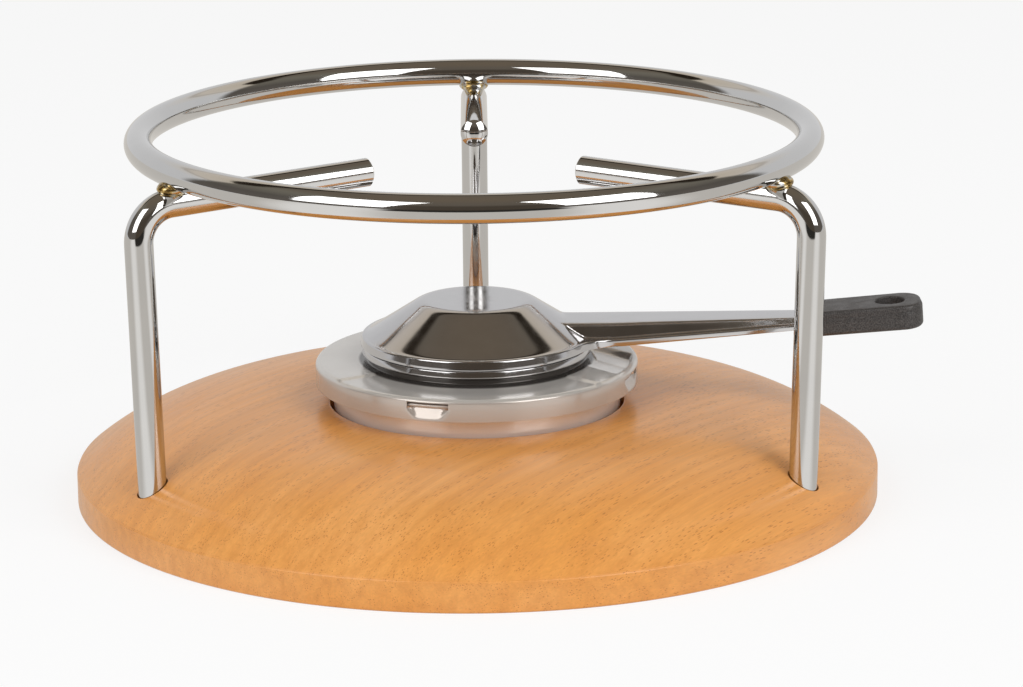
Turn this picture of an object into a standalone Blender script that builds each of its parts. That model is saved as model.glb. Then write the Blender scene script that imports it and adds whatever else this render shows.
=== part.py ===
"""Table-top fondue stand: a domed beech plate, a chromed wire stand and a paste burner with a snuffer.

All lengths are metres. The origin is the centre of the plate's underside, +Z is up, the snuffer's
handle points along +X, and -Y is the side between two legs from which the stand is seen.
"""
import math

import bmesh
import bpy
from mathutils import Color, Matrix

# Fits that every piece shares
CLEARANCE = 0.0003
OVERRUN = 0.002
WELD_DISTANCE = 0.000001

# Beech plate: a straight rim, a domed top and a round recess for the burner
PLATE_RADIUS = 0.130
RIM_HEIGHT = 0.010
CROWN_RISE = 0.0204
CROWN_POWER = 5.2
RIM_ROUND = 0.0006
RECESS_DEPTH = 0.0114
RECESS_GAP = 0.0012
RECESS_ROUND = 0.0006
PLATE_STEPS = 72
CROWN_SHARES = (0.985, 0.955, 0.91, 0.84, 0.74, 0.60)

# Wire stand: one wire size, three legs bent over into arms, and a ring on top
WIRE_DIAMETER = 0.009
STAND_HEIGHT = 0.1218
LEG_FOOT_INSET = 0.0135
RING_INSET = 0.0095
LEG_LEAN = math.radians(1.4)
LEG_BEND_RADIUS = 0.0115
ARM_END_RADIUS = 0.0375
ARM_DOME_RISE = 0.0017
ARM_DOME_SHARES = (0.0, 0.62, 1.0)
ARM_TIP_SHARE = 0.3
LEG_HOLE_GAP = 0.0004
RING_STEPS = 60
RING_SIDES = 12
BEND_STEPS = 7
LEG_AZIMUTHS = {"left": math.radians(210.0), "right": math.radians(330.0), "rear": math.radians(90.0)}

# Braze beads where the ring crosses the arms
BEAD_RADIAL = 0.0052
BEAD_TANGENTIAL = 0.005
BEAD_HEIGHT = 0.0034
BEAD_STEPS = 14
BEAD_RINGS = 8

# Screws and washers that hold the legs from below, sunk in counterbores
SCREW_DIAMETER = 0.005
SCREW_HEAD_DIAMETER = 0.0092
SCREW_HEAD_HEIGHT = 0.003
SCREW_HEAD_SINK = 0.0009
SCREW_REACH = 0.012
SOCKET_WIDTH = 0.003
SOCKET_DEPTH = 0.0018
WASHER_DIAMETER = 0.012
WASHER_THICKNESS = 0.001
COUNTERBORE_ROOM = 0.001
LEG_SEAT_WEB = 0.0032
BORE_STEPS = 16

# Burner pan: a drawn dish with an outward flange
PAN_RADIUS = 0.0465
PAN_SHEET = 0.0007
PAN_CORNER_RADIUS = 0.003
PAN_FLANGE_WIDTH = 0.0046
PAN_STEPS = 48

# Burner collar: a stamped ring with a lanced skirt outside and a raised neck inside
COLLAR_SHEET = 0.0008
COLLAR_RISE = 0.0136
NECK_WIDTH = 0.0028
NECK_HEIGHT = 0.0019
NECK_LIP_DROP = 0.0023
NECK_ROUND = 0.0005
NECK_FILLET = 0.0004
SKIRT_ROUND = 0.0017
SKIRT_HEM = 0.0006
TROUGH_START = math.radians(-26.0)
TROUGH_NEAR_RAMP = math.radians(17.0)
TROUGH_END = math.radians(8.0)
TROUGH_FAR_RAMP = math.radians(4.0)
TROUGH_DEPTH = 0.0016
TOP_SHARES = (0.12, 0.35, 0.86)
SECTOR_AZIMUTH = math.radians(-8.0)
CREASE_HALF_ANGLES = (math.radians(32.0), math.radians(139.0))
CREASE_RAMP_ANGLE = math.radians(3.0)
CREASE_DEPTH = 0.0005
SLOT_COUNT = 4
SLOT_FIRST_AZIMUTH = math.radians(-107.5)
SLOT_HALF_ANGLE = math.radians(7.5)
SLOT_SHEAR_ANGLE = math.radians(0.8)
TAB_HEIGHT = 0.0033
TAB_PRESS = 0.0014
COLLAR_STEPS = 48

# Fuel cup: a drawn cup with a small outward lip
CUP_ROOM = 0.0009
CUP_LIP_WIDTH = 0.0012
CUP_BELOW_NECK = 0.0008
CUP_SHEET = 0.0006
CUP_CORNER_RADIUS = 0.0035
CUP_STEPS = 32

# Snuffer: a truncated cone cap and the handle blade, stamped from one sheet, over a rolled ring
SNUFFER_SHEET = 0.0008
CAP_RADIUS = 0.0375
CAP_TOP_RADIUS = 0.0184
CAP_HEIGHT = 0.014
CAP_BRIM_HEIGHT = 0.0033
CAP_BRIM_WIDTH = 0.0012
CAP_TOP_BEND = 0.005
BRIM_ROUND = 0.0005
CAP_STEPS = 56
SEAT_INSET = 0.0004
SEAT_OVERHANG = 0.0007
SEAT_HEIGHT = 0.0028
SEAT_WIDTH = 0.0028
SEAT_ROUND = 0.0014
SEAT_COLLAR_HEIGHT = 0.0024
SEAT_COLLAR_SHEET = 0.0008
SEAT_STEPS = 48

# Handle blade: an inverted channel with a raised ridge, which leaves the brim in a concave sweep
BLADE_END = 0.1057
BLADE_START_SHARE = 0.64
BLADE_HALF_WIDTH_ROOT = 0.0107
BLADE_HALF_WIDTH_END = 0.0076
BLADE_SWEEP_RADIUS = 0.014
BLADE_RISE = 0.0028
BLADE_LIP_ROOT = 0.0021
BLADE_LIP_END = 0.0017
RIDGE_HALF_WIDTH_ROOT = 0.0083
RIDGE_HALF_WIDTH_END = 0.0064
RIDGE_HEIGHT_ROOT = 0.0042
RIDGE_HEIGHT_END = 0.0018
RIDGE_SIDE_RUN = 0.0011
TANG_WIDTH = 0.01
SWEEP_SHARES = (0.0, 0.15, 0.32, 0.55, 1.0)
STRAIGHT_SHARES = (0.35, 0.7, 1.0)

# Grip: a moulded plastic bar with a hanging hole and a socket for the blade's tang
GRIP_LENGTH = 0.038
GRIP_WIDTH_ROOT = 0.0174
GRIP_WIDTH_TIP = 0.0188
GRIP_THICKNESS = 0.0082
GRIP_TILT = math.radians(4.2)
GRIP_ABOVE_BLADE = 0.0021
GRIP_TIP_RADIUS = 0.0066
GRIP_ROOT_RADIUS = 0.0018
GRIP_EDGE_ROUND = 0.0016
HANG_HOLE_DIAMETER = 0.0096
HANG_HOLE_FROM_TIP = 0.0102
HANG_HOLE_WALL = 0.003
GRIP_TIP_STEPS = 5
GRIP_ROOT_STEPS = 2
HOLE_STEPS = 24

# Places that follow from the sizes above: the wire stand and its fastening
WIRE_RADIUS = WIRE_DIAMETER / 2
LEG_FOOT_RADIUS = PLATE_RADIUS - LEG_FOOT_INSET
RING_RADIUS = LEG_FOOT_RADIUS - RING_INSET
RING_HEIGHT = STAND_HEIGHT - WIRE_RADIUS
CROWN_HEIGHT = RIM_HEIGHT + CROWN_RISE
SCREW_RADIUS = SCREW_DIAMETER / 2
SCREW_HOLE_RADIUS = SCREW_RADIUS + CLEARANCE
SCREW_HEAD_TOP = SCREW_HEAD_SINK + SCREW_HEAD_HEIGHT
WASHER_BOTTOM = SCREW_HEAD_TOP + CLEARANCE
WASHER_TOP = WASHER_BOTTOM + WASHER_THICKNESS
COUNTERBORE_DEPTH = WASHER_TOP + CLEARANCE
LEG_HOLE_FLOOR = COUNTERBORE_DEPTH + LEG_SEAT_WEB
LEG_END = LEG_HOLE_FLOOR + CLEARANCE

# Places that follow from the sizes above: the burner, from its recess upwards
RECESS_RADIUS = PAN_RADIUS + RECESS_GAP
RECESS_FLOOR = CROWN_HEIGHT - RECESS_DEPTH
FLANGE_RADIUS = PAN_RADIUS + PAN_FLANGE_WIDTH
COLLAR_RADIUS = FLANGE_RADIUS + CLEARANCE + COLLAR_SHEET
COLLAR_TOP = CROWN_HEIGHT + COLLAR_RISE
FLANGE_TOP = COLLAR_TOP - COLLAR_SHEET - TROUGH_DEPTH - CLEARANCE
FLANGE_BOTTOM = FLANGE_TOP - PAN_SHEET
TAB_TOP = FLANGE_BOTTOM - CLEARANCE
TAB_BOTTOM = TAB_TOP - TAB_HEIGHT
PAN_FLOOR = RECESS_FLOOR + CLEARANCE
NECK_TOP = COLLAR_TOP + NECK_HEIGHT
SEAT_RADIUS = CAP_RADIUS - SEAT_INSET
NECK_RADIUS = SEAT_RADIUS - SEAT_OVERHANG
NECK_INNER_RADIUS = NECK_RADIUS - NECK_WIDTH
CUP_LIP_RADIUS = NECK_INNER_RADIUS - CUP_ROOM
CUP_RADIUS = CUP_LIP_RADIUS - CUP_LIP_WIDTH
CUP_FLOOR = PAN_FLOOR + PAN_SHEET + CLEARANCE
CUP_TOP = NECK_TOP - CUP_BELOW_NECK
SEAT_BOTTOM = NECK_TOP + CLEARANCE
SEAT_TOP = SEAT_BOTTOM + SEAT_HEIGHT
CAP_BOTTOM = SEAT_TOP + CLEARANCE
CAP_TOP = CAP_BOTTOM + CAP_HEIGHT
BRIM_TOP = CAP_BOTTOM + CAP_BRIM_HEIGHT
BLADE_TOP_END = BRIM_TOP + BLADE_RISE + RIDGE_HEIGHT_END
GRIP_START = BLADE_END + CLEARANCE
TANG_LENGTH = GRIP_LENGTH - HANG_HOLE_FROM_TIP - HANG_HOLE_DIAMETER / 2 - HANG_HOLE_WALL

for old in list(bpy.data.objects):
    bpy.data.objects.remove(old, do_unlink=True)


def new_collection(name):
    """Make a collection and link it to the scene."""
    collection = bpy.data.collections.new(name)
    bpy.context.scene.collection.children.link(collection)
    return collection


PARTS = new_collection("fondue_stand")
CUTTERS = new_collection("cutters")


def new_material(name, colour, roughness, metallic):
    """Make a Principled material of one sRGB colour."""
    material = bpy.data.materials.new(name)
    material.use_nodes = True
    shader = material.node_tree.nodes["Principled BSDF"]
    shader.inputs["Base Color"].default_value = (*Color(colour).from_srgb_to_scene_linear(), 1.0)
    shader.inputs["Roughness"].default_value = roughness
    shader.inputs["Metallic"].default_value = metallic
    return material


def chrome(name):
    return new_material(name, (0.80, 0.81, 0.83), 0.06, 1.0)


def stainless(name):
    return new_material(name, (0.68, 0.66, 0.63), 0.18, 1.0)


def zinc_steel(name):
    return new_material(name, (0.70, 0.71, 0.72), 0.35, 1.0)


def add_object(name, mesh, parent=None, collection=PARTS):
    """Put a mesh in the scene as a named object, placed by its parent if it has one."""
    obj = bpy.data.objects.new(name, mesh)
    collection.objects.link(obj)
    obj.parent = parent
    return obj


def add_empty(name, place, parent=None):
    """An empty that places or carries the pieces parented to it."""
    empty = add_object(name, None, parent)
    empty.matrix_basis = place
    return empty


def finish(obj, material):
    """Give a part its material and smooth shading with crisp edges."""
    obj.data.materials.clear()
    obj.data.materials.append(material)
    obj.data.shade_smooth()
    obj.data.set_sharp_from_angle(angle=math.radians(35.0))
    return obj


def evaluated_mesh(obj):
    """The object as its modifiers or its curve make it, as a mesh of its own."""
    bpy.context.view_layer.update()
    graph = bpy.context.evaluated_depsgraph_get()
    return bpy.data.meshes.new_from_object(obj.evaluated_get(graph))


def apply_modifiers(obj):
    """Turn an object's modifiers into its plain mesh."""
    mesh = evaluated_mesh(obj)
    obj.modifiers.clear()
    obj.data = mesh


def weld(mesh):
    """Merge the coincident points of a mesh and point its faces outwards."""
    shape = bmesh.new()
    shape.from_mesh(mesh)
    bmesh.ops.remove_doubles(shape, verts=shape.verts, dist=WELD_DISTANCE)
    bmesh.ops.recalc_face_normals(shape, faces=shape.faces)
    shape.to_mesh(mesh)
    shape.free()


def curve_to_mesh(curve):
    """Turn a curve into a closed mesh and remove the curve's object."""
    guide = add_object(curve.name + "_guide", curve, collection=CUTTERS)
    mesh = evaluated_mesh(guide)
    bpy.data.objects.remove(guide, do_unlink=True)
    weld(mesh)
    return mesh


def turned(name, profile, steps, closed=False, parent=None, collection=PARTS):
    """Turn a profile of (radius, height) points about Z with a Screw modifier."""
    count = len(profile)
    edges = [(i, i + 1) for i in range(count - 1)]
    if closed:
        edges.append((count - 1, 0))
    mesh = bpy.data.meshes.new(name)
    mesh.from_pydata([(r, 0.0, z) for r, z in profile], edges, [])
    obj = add_object(name, mesh, parent, collection)
    screw = obj.modifiers.new("turn", "SCREW")
    screw.axis = "Z"
    screw.angle = math.tau
    screw.steps = steps
    screw.render_steps = steps
    screw.use_merge_vertices = True
    screw.merge_threshold = WELD_DISTANCE
    apply_modifiers(obj)
    return obj


def cylinder(name, radius, low, high, steps=BORE_STEPS, parent=None):
    """A closed cutter about its own Z from one height to another."""
    mesh = bpy.data.meshes.new(name)
    shape = bmesh.new()
    bmesh.ops.create_cone(
        shape, cap_ends=True, segments=steps, radius1=radius, radius2=radius, depth=high - low,
        matrix=Matrix.Translation((0.0, 0.0, (low + high) / 2)),
    )
    shape.to_mesh(mesh)
    shape.free()
    return add_object(name, mesh, parent, CUTTERS)


def boolean(obj, tool, operation):
    """Cut, or join, one object with another, and hide the tool."""
    modifier = obj.modifiers.new(operation.lower(), "BOOLEAN")
    modifier.operation = operation
    modifier.solver = "EXACT"
    modifier.object = tool
    tool.hide_render = True
    tool.display_type = "WIRE"
    apply_modifiers(obj)
    weld(obj.data)


def cut(obj, tool):
    boolean(obj, tool, "DIFFERENCE")


def join(obj, tool):
    boolean(obj, tool, "UNION")


def arc(centre_r, centre_z, radius, start, end, steps):
    """Points of an arc, with angles in degrees from the first axis towards the second."""
    points = []
    for i in range(steps + 1):
        angle = math.radians(start + (end - start) * i / steps)
        points.append((centre_r + radius * math.cos(angle), centre_z + radius * math.sin(angle)))
    return points


def mix(a, b, share):
    """The value at a share of the way from a to b."""
    return a + (b - a) * share


def crown_height(radius):
    """Height of the plate's domed top at a distance from its axis."""
    return RIM_HEIGHT + CROWN_RISE * (1 - (radius / PLATE_RADIUS) ** CROWN_POWER)


def leg_frame(side):
    """Place of a leg: its foot on the plate's underside, +Z up the leg, -X towards the middle."""
    foot = Matrix.Translation((LEG_FOOT_RADIUS, 0.0, 0.0))
    return Matrix.Rotation(LEG_AZIMUTHS[side], 4, "Z") @ foot @ Matrix.Rotation(LEG_LEAN, 4, "Y")


def arm_height():
    """Distance up the leg to the arm's axis, for which the ring rests on the arm."""
    crossing = RING_HEIGHT - WIRE_DIAMETER - CLEARANCE
    return (crossing - RING_INSET * math.tan(LEG_LEAN)) * math.cos(LEG_LEAN)


def arm_length():
    """Length of the arm from the leg's axis to its cut end."""
    reach = LEG_FOOT_RADIUS + arm_height() * math.sin(LEG_LEAN) - ARM_END_RADIUS
    return reach / math.cos(LEG_LEAN)


def dome_width_share(rise_share):
    """Width of the arm's domed end at a share of its rise, as a share of the wire's width.

    The dome is the cap of a sphere, flattened a little at its tip, so its mesh stays closed.
    """
    sphere = (WIRE_RADIUS ** 2 + ARM_DOME_RISE ** 2) / (2 * ARM_DOME_RISE)
    height = sphere - ARM_DOME_RISE * (1 - rise_share)
    return max(math.sqrt(max(sphere ** 2 - height ** 2, 0.0)) / WIRE_RADIUS, ARM_TIP_SHARE)


def add_wire_leg(name, foot, radius, collection):
    """A leg and its arm as one bent wire with a domed end, standing in its foot's frame."""
    height = arm_height()
    bend = arc(-LEG_BEND_RADIUS, height - LEG_BEND_RADIUS, LEG_BEND_RADIUS, 0.0, 90.0, BEND_STEPS)
    points = [(0.0, LEG_END), *bend]
    dome_start = ARM_DOME_RISE - arm_length()
    points += [(dome_start - ARM_DOME_RISE * share, height) for share in ARM_DOME_SHARES]
    curve = bpy.data.curves.new(name, "CURVE")
    curve.dimensions = "3D"
    curve.bevel_depth = radius
    curve.bevel_resolution = 4
    curve.use_fill_caps = True
    spline = curve.splines.new("POLY")
    spline.points.add(len(points) - 1)
    for point, (x, z) in zip(spline.points, points):
        point.co = (x, 0.0, z, 1.0)
    for point, share in zip(reversed(spline.points), reversed(ARM_DOME_SHARES)):
        point.radius = dome_width_share(share)
    return add_object(name, curve_to_mesh(curve), foot, collection)


def add_ring(name, radius, collection):
    """The pot ring's wire as a torus at its height."""
    bpy.ops.mesh.primitive_torus_add(
        major_segments=RING_STEPS, minor_segments=RING_SIDES, major_radius=RING_RADIUS,
        minor_radius=radius, location=(0.0, 0.0, RING_HEIGHT),
    )
    ring = bpy.context.object
    ring.name = name
    for holder in list(ring.users_collection):
        holder.objects.unlink(ring)
    collection.objects.link(ring)
    return ring


def make_base_plate(feet):
    """Turned plate with a domed top, the burner's recess, and drilled, counterbored leg holes."""
    profile = [(0.0, RECESS_FLOOR), (RECESS_RADIUS, RECESS_FLOOR)]
    profile.append((RECESS_RADIUS, crown_height(RECESS_RADIUS) - RECESS_ROUND))
    profile.append((RECESS_RADIUS + RECESS_ROUND, crown_height(RECESS_RADIUS + RECESS_ROUND)))
    for share in reversed(CROWN_SHARES):
        profile.append((PLATE_RADIUS * share, crown_height(PLATE_RADIUS * share)))
    profile += arc(PLATE_RADIUS - RIM_ROUND, RIM_HEIGHT - RIM_ROUND, RIM_ROUND, 60.0, 0.0, 2)
    profile += arc(PLATE_RADIUS - RIM_ROUND, RIM_ROUND, RIM_ROUND, 0.0, -90.0, 1)
    profile.append((0.0, 0.0))
    plate = turned("base_plate", profile, PLATE_STEPS)
    for side, foot in feet.items():
        hole = WIRE_RADIUS + LEG_HOLE_GAP
        cut(plate, cylinder("leg_hole_" + side, hole, LEG_HOLE_FLOOR, CROWN_HEIGHT, parent=foot))
        cut(plate, cylinder("screw_hole_" + side, SCREW_HOLE_RADIUS, -OVERRUN, CROWN_HEIGHT, parent=foot))
        room = WASHER_DIAMETER / 2 + COUNTERBORE_ROOM
        cut(plate, cylinder("counterbore_" + side, room, -OVERRUN, COUNTERBORE_DEPTH, parent=foot))
    finish(plate, new_material("beech", (0.86, 0.62, 0.38), 0.42, 0.0))


def make_pot_ring():
    """Pot ring of round wire, which rests on the three arms."""
    finish(add_ring("pot_ring", WIRE_RADIUS, PARTS), chrome("chrome_ring"))


def make_leg(side, foot):
    """Bent wire leg with a bore for its screw in the lower end."""
    leg = add_wire_leg("leg_" + side, foot, WIRE_RADIUS, PARTS)
    bore_end = LEG_END + SCREW_REACH + CLEARANCE
    cut(leg, cylinder("leg_bore_" + side, SCREW_HOLE_RADIUS, LEG_END - OVERRUN, bore_end, parent=foot))
    finish(leg, chrome("chrome_leg_" + side))


def make_bead(side, foot):
    """Braze bead that fills the corners where the ring crosses an arm."""
    mesh = bpy.data.meshes.new("bead_" + side)
    shape = bmesh.new()
    bmesh.ops.create_uvsphere(shape, u_segments=BEAD_STEPS, v_segments=BEAD_RINGS, radius=1.0)
    bmesh.ops.scale(shape, vec=(BEAD_RADIAL, BEAD_TANGENTIAL, BEAD_HEIGHT), verts=shape.verts)
    shape.to_mesh(mesh)
    shape.free()
    bead = add_object("bead_" + side, mesh)
    crossing = Matrix.Translation((RING_RADIUS, 0.0, RING_HEIGHT - WIRE_RADIUS - CLEARANCE / 2))
    bead.matrix_basis = Matrix.Rotation(LEG_AZIMUTHS[side], 4, "Z") @ crossing
    cut(bead, add_ring("ring_room_" + side, WIRE_RADIUS + CLEARANCE, CUTTERS))
    cut(bead, add_wire_leg("arm_room_" + side, foot, WIRE_RADIUS + CLEARANCE, CUTTERS))
    finish(bead, new_material("braze_" + side, (0.72, 0.60, 0.36), 0.30, 1.0))


def make_washer(side, foot):
    """Flat washer between the screw's head and the counterbore's floor."""
    outer = WASHER_DIAMETER / 2
    profile = [(outer, WASHER_TOP), (outer, WASHER_BOTTOM)]
    profile += [(SCREW_HOLE_RADIUS, WASHER_BOTTOM), (SCREW_HOLE_RADIUS, WASHER_TOP)]
    washer = turned("washer_" + side, profile, BORE_STEPS, closed=True, parent=foot)
    finish(washer, zinc_steel("washer_steel_" + side))


def make_screw(side, foot):
    """Socket screw from the counterbore up into the leg."""
    head = SCREW_HEAD_DIAMETER / 2
    tip = LEG_END + SCREW_REACH
    profile = [(0.0, tip), (SCREW_RADIUS, tip), (SCREW_RADIUS, SCREW_HEAD_TOP)]
    profile += [(head, SCREW_HEAD_TOP), (head, SCREW_HEAD_SINK), (0.0, SCREW_HEAD_SINK)]
    screw = turned("screw_" + side, profile, BORE_STEPS, parent=foot)
    corner = SOCKET_WIDTH / 2 / math.cos(math.radians(30.0))
    socket_end = SCREW_HEAD_SINK + SOCKET_DEPTH
    cut(screw, cylinder("socket_" + side, corner, SCREW_HEAD_SINK - OVERRUN, socket_end, 6, foot))
    finish(screw, zinc_steel("screw_steel_" + side))


def dish_profile(radius, sheet, corner, floor, top, flange_radius):
    """Section of a drawn dish with an outward flange, from its inside floor to its underside."""
    centre = (radius - corner, floor + corner)
    profile = [(0.0, floor + sheet), *arc(*centre, corner - sheet, -90.0, 0.0, 3)]
    profile += [(radius - sheet, top), (flange_radius, top)]
    profile += [(flange_radius, top - sheet), (radius, top - sheet)]
    return profile + [*arc(*centre, corner, 0.0, -90.0, 3), (0.0, floor)]


def make_burner_pan(carrier):
    """Drawn dish that stands in the recess; its flange carries the collar."""
    profile = dish_profile(PAN_RADIUS, PAN_SHEET, PAN_CORNER_RADIUS, PAN_FLOOR, FLANGE_TOP, FLANGE_RADIUS)
    finish(turned("burner_pan", profile, PAN_STEPS, parent=carrier), stainless("stainless_pan"))


def make_fuel_cup(carrier):
    """Drawn cup for the burning paste, which stands on the pan's floor inside the collar's neck."""
    profile = dish_profile(CUP_RADIUS, CUP_SHEET, CUP_CORNER_RADIUS, CUP_FLOOR, CUP_TOP, CUP_LIP_RADIUS)
    finish(turned("fuel_cup", profile, CUP_STEPS, parent=carrier), stainless("stainless_cup"))


def angle_between(a, b):
    """Smallest angle between two azimuths."""
    return abs((a - b + math.pi) % math.tau - math.pi)


def ramp_down(value, start, run):
    """One up to the start, zero past the run, and straight between."""
    return min(max((start + run - value) / run, 0.0), 1.0)


def collar_press(azimuth):
    """Depths to which the collar's top is pressed at an azimuth: by the creases, and by the trough."""
    off_axis = angle_between(azimuth, SECTOR_AZIMUTH)
    near, far = CREASE_HALF_ANGLES
    low_sector = ramp_down(off_axis, far, CREASE_RAMP_ANGLE) - ramp_down(off_axis, near, CREASE_RAMP_ANGLE)
    signed = (azimuth + math.pi) % math.tau - math.pi
    near_side = 1 - ramp_down(signed, TROUGH_START, TROUGH_NEAR_RAMP)
    far_side = ramp_down(signed, TROUGH_END - TROUGH_FAR_RAMP, TROUGH_FAR_RAMP)
    return CREASE_DEPTH * low_sector, TROUGH_DEPTH * min(near_side, far_side)


def slot_azimuths():
    return [SLOT_FIRST_AZIMUTH + math.tau * i / SLOT_COUNT for i in range(SLOT_COUNT)]


def in_slot(azimuth, margin=0.0):
    """Whether an azimuth lies inside one of the lanced slots, or within a margin of its end."""
    return any(angle_between(azimuth, centre) < SLOT_HALF_ANGLE + margin for centre in slot_azimuths())


def collar_azimuths():
    """Stations round the collar: the ends of its slots, ramps and creases, and even ones between."""
    fixed = []
    for centre in slot_azimuths():
        for sign in (-1, 1):
            fixed += [centre + sign * (SLOT_HALF_ANGLE + SLOT_SHEAR_ANGLE / 2)]
            fixed += [centre + sign * (SLOT_HALF_ANGLE - SLOT_SHEAR_ANGLE / 2)]
    fixed += [TROUGH_START, TROUGH_START + TROUGH_NEAR_RAMP, TROUGH_END - TROUGH_FAR_RAMP, TROUGH_END]
    for half_angle in CREASE_HALF_ANGLES:
        for sign in (-1, 1):
            crease = SECTOR_AZIMUTH + sign * half_angle
            fixed += [crease, crease + sign * CREASE_RAMP_ANGLE]
    spacing = math.tau / COLLAR_STEPS
    even = [SLOT_FIRST_AZIMUTH + spacing * i for i in range(COLLAR_STEPS)]
    kept = []
    for azimuth in fixed:
        if all(angle_between(azimuth, other) > SLOT_SHEAR_ANGLE / 2 for other in kept):
            kept.append(azimuth)
    for azimuth in even:
        if all(angle_between(azimuth, other) > spacing / 2 for other in kept):
            kept.append(azimuth)
    return sorted(azimuth % math.tau for azimuth in kept)


def collar_section(azimuth):
    """Outer face of the collar at an azimuth, from the neck's inner lip over the top and down the skirt."""
    crease, trough = collar_press(azimuth)
    low = COLLAR_TOP - crease
    floor = COLLAR_TOP - max(crease, trough)
    flat_start = NECK_RADIUS + NECK_FILLET
    flat_end = COLLAR_RADIUS - SKIRT_ROUND
    first, second, third = (mix(flat_start, flat_end, share) for share in TOP_SHARES)
    tab_face = COLLAR_RADIUS - TAB_PRESS if in_slot(azimuth) else COLLAR_RADIUS
    slot_top = COLLAR_TOP - SKIRT_ROUND
    bend = math.radians(45.0)
    return [
        (NECK_INNER_RADIUS, NECK_TOP - NECK_LIP_DROP),
        (NECK_INNER_RADIUS, NECK_TOP - NECK_ROUND),
        (NECK_INNER_RADIUS + NECK_ROUND, NECK_TOP),
        (NECK_RADIUS - NECK_ROUND, NECK_TOP),
        (NECK_RADIUS, NECK_TOP - NECK_ROUND),
        (NECK_RADIUS, COLLAR_TOP + NECK_FILLET),
        (flat_start, COLLAR_TOP),
        (first, low),
        (second, floor),
        (third, floor),
        (flat_end, low),
        (flat_end + SKIRT_ROUND * math.sin(bend), slot_top + SKIRT_ROUND * math.cos(bend)),
        (COLLAR_RADIUS, slot_top),
        (tab_face, TAB_TOP),
        (COLLAR_RADIUS, TAB_BOTTOM),
        (COLLAR_RADIUS, TAB_BOTTOM - SKIRT_HEM),
    ]


def make_burner_collar(carrier):
    """Stamped collar: a section swept round the axis, pressed by azimuth and lanced, then thickened.

    The top is pressed into a trough under the handle and into lower sectors that end in creases.
    Below each slot in the skirt a strip is pressed in, under the pan's flange, and holds the pan.
    """
    azimuths = collar_azimuths()
    sections = [collar_section(azimuth) for azimuth in azimuths]
    slot_row = [z for _, z in sections[0]].index(TAB_TOP) - 1
    shape = bmesh.new()
    columns = []
    for azimuth, section in zip(azimuths, sections):
        turn = (math.cos(azimuth), math.sin(azimuth))
        columns.append([shape.verts.new((r * turn[0], r * turn[1], z)) for r, z in section])
    for i, azimuth in enumerate(azimuths):
        here, there = columns[i], columns[(i + 1) % len(columns)]
        middle = azimuth + (azimuths[(i + 1) % len(azimuths)] - azimuth) % math.tau / 2
        for j in range(len(here) - 1):
            if j == slot_row and in_slot(middle, SLOT_SHEAR_ANGLE / 4):
                continue
            shape.faces.new((here[j], here[j + 1], there[j + 1], there[j]))
    mesh = bpy.data.meshes.new("burner_collar")
    shape.to_mesh(mesh)
    shape.free()
    collar = add_object("burner_collar", mesh, carrier)
    sheet = collar.modifiers.new("sheet", "SOLIDIFY")
    sheet.thickness = COLLAR_SHEET
    sheet.offset = -1.0
    sheet.use_even_offset = True
    apply_modifiers(collar)
    weld(collar.data)
    finish(collar, stainless("stainless_collar"))


def cap_profile(inset, bottom):
    """Section of the snuffer's cap, drawn inwards by a sheet, from its top centre to an open bottom."""
    slope = math.atan2(CAP_TOP - BRIM_TOP, CAP_RADIUS - CAP_BRIM_WIDTH - CAP_TOP_RADIUS)
    bend_start = CAP_TOP_RADIUS - CAP_TOP_BEND * math.tan(slope / 2)
    bend_end = 90.0 - math.degrees(slope)
    profile = [(0.0, CAP_TOP - inset)]
    profile += arc(bend_start, CAP_TOP - CAP_TOP_BEND, CAP_TOP_BEND - inset, 90.0, bend_end, 3)
    profile.append((CAP_RADIUS - CAP_BRIM_WIDTH - inset * math.tan(slope / 2), BRIM_TOP - inset))
    if not inset:
        profile.append((CAP_RADIUS - BRIM_ROUND, BRIM_TOP))
        profile.append((CAP_RADIUS, BRIM_TOP - BRIM_ROUND))
    else:
        profile.append((CAP_RADIUS - inset, BRIM_TOP - inset))
    return profile + [(CAP_RADIUS - inset, bottom), (0.0, bottom)]


def sweep_ends():
    """Where the blade's sweep touches the round brim, and where it meets the straight blade."""
    far = CAP_RADIUS + BLADE_SWEEP_RADIUS
    end = math.sqrt(far ** 2 - (BLADE_HALF_WIDTH_ROOT + BLADE_SWEEP_RADIUS) ** 2)
    return end * CAP_RADIUS / far, end


def blade_half_width(x):
    """Half width of the blade: a concave sweep off the round brim, then a straight taper."""
    start, end = sweep_ends()
    if x > end:
        return mix(BLADE_HALF_WIDTH_ROOT, BLADE_HALF_WIDTH_END, (x - end) / (BLADE_END - end))
    along = end - max(x, start)
    return BLADE_HALF_WIDTH_ROOT + BLADE_SWEEP_RADIUS - math.sqrt(BLADE_SWEEP_RADIUS ** 2 - along ** 2)


def blade_section(x, inset, drop):
    """Section of the blade at x, drawn inwards by a sheet: lip, brim flat, ridge side, ridge top."""
    start, end = sweep_ends()
    share = max((x - end) / (BLADE_END - end), 0.0)
    root_share = min(max((x - start) / (end - start), 0.0), 1.0)
    brim = BRIM_TOP + BLADE_RISE * share
    lip = mix(mix(CAP_BRIM_HEIGHT, BLADE_LIP_ROOT, root_share), BLADE_LIP_END, share)
    half = blade_half_width(x) - inset
    ridge = mix(RIDGE_HALF_WIDTH_ROOT, RIDGE_HALF_WIDTH_END, share) - inset
    top = brim + mix(RIDGE_HEIGHT_ROOT, RIDGE_HEIGHT_END, share)
    side = [
        (half, brim - lip - drop),
        (half, brim - inset - BRIM_ROUND),
        (half - BRIM_ROUND, brim - inset),
        (min(ridge + RIDGE_SIDE_RUN, half - BRIM_ROUND), brim - inset),
        (ridge, top - inset - BRIM_ROUND),
        (ridge - BRIM_ROUND, top - inset),
    ]
    return side + [(-y, z) for y, z in reversed(side)]


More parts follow.
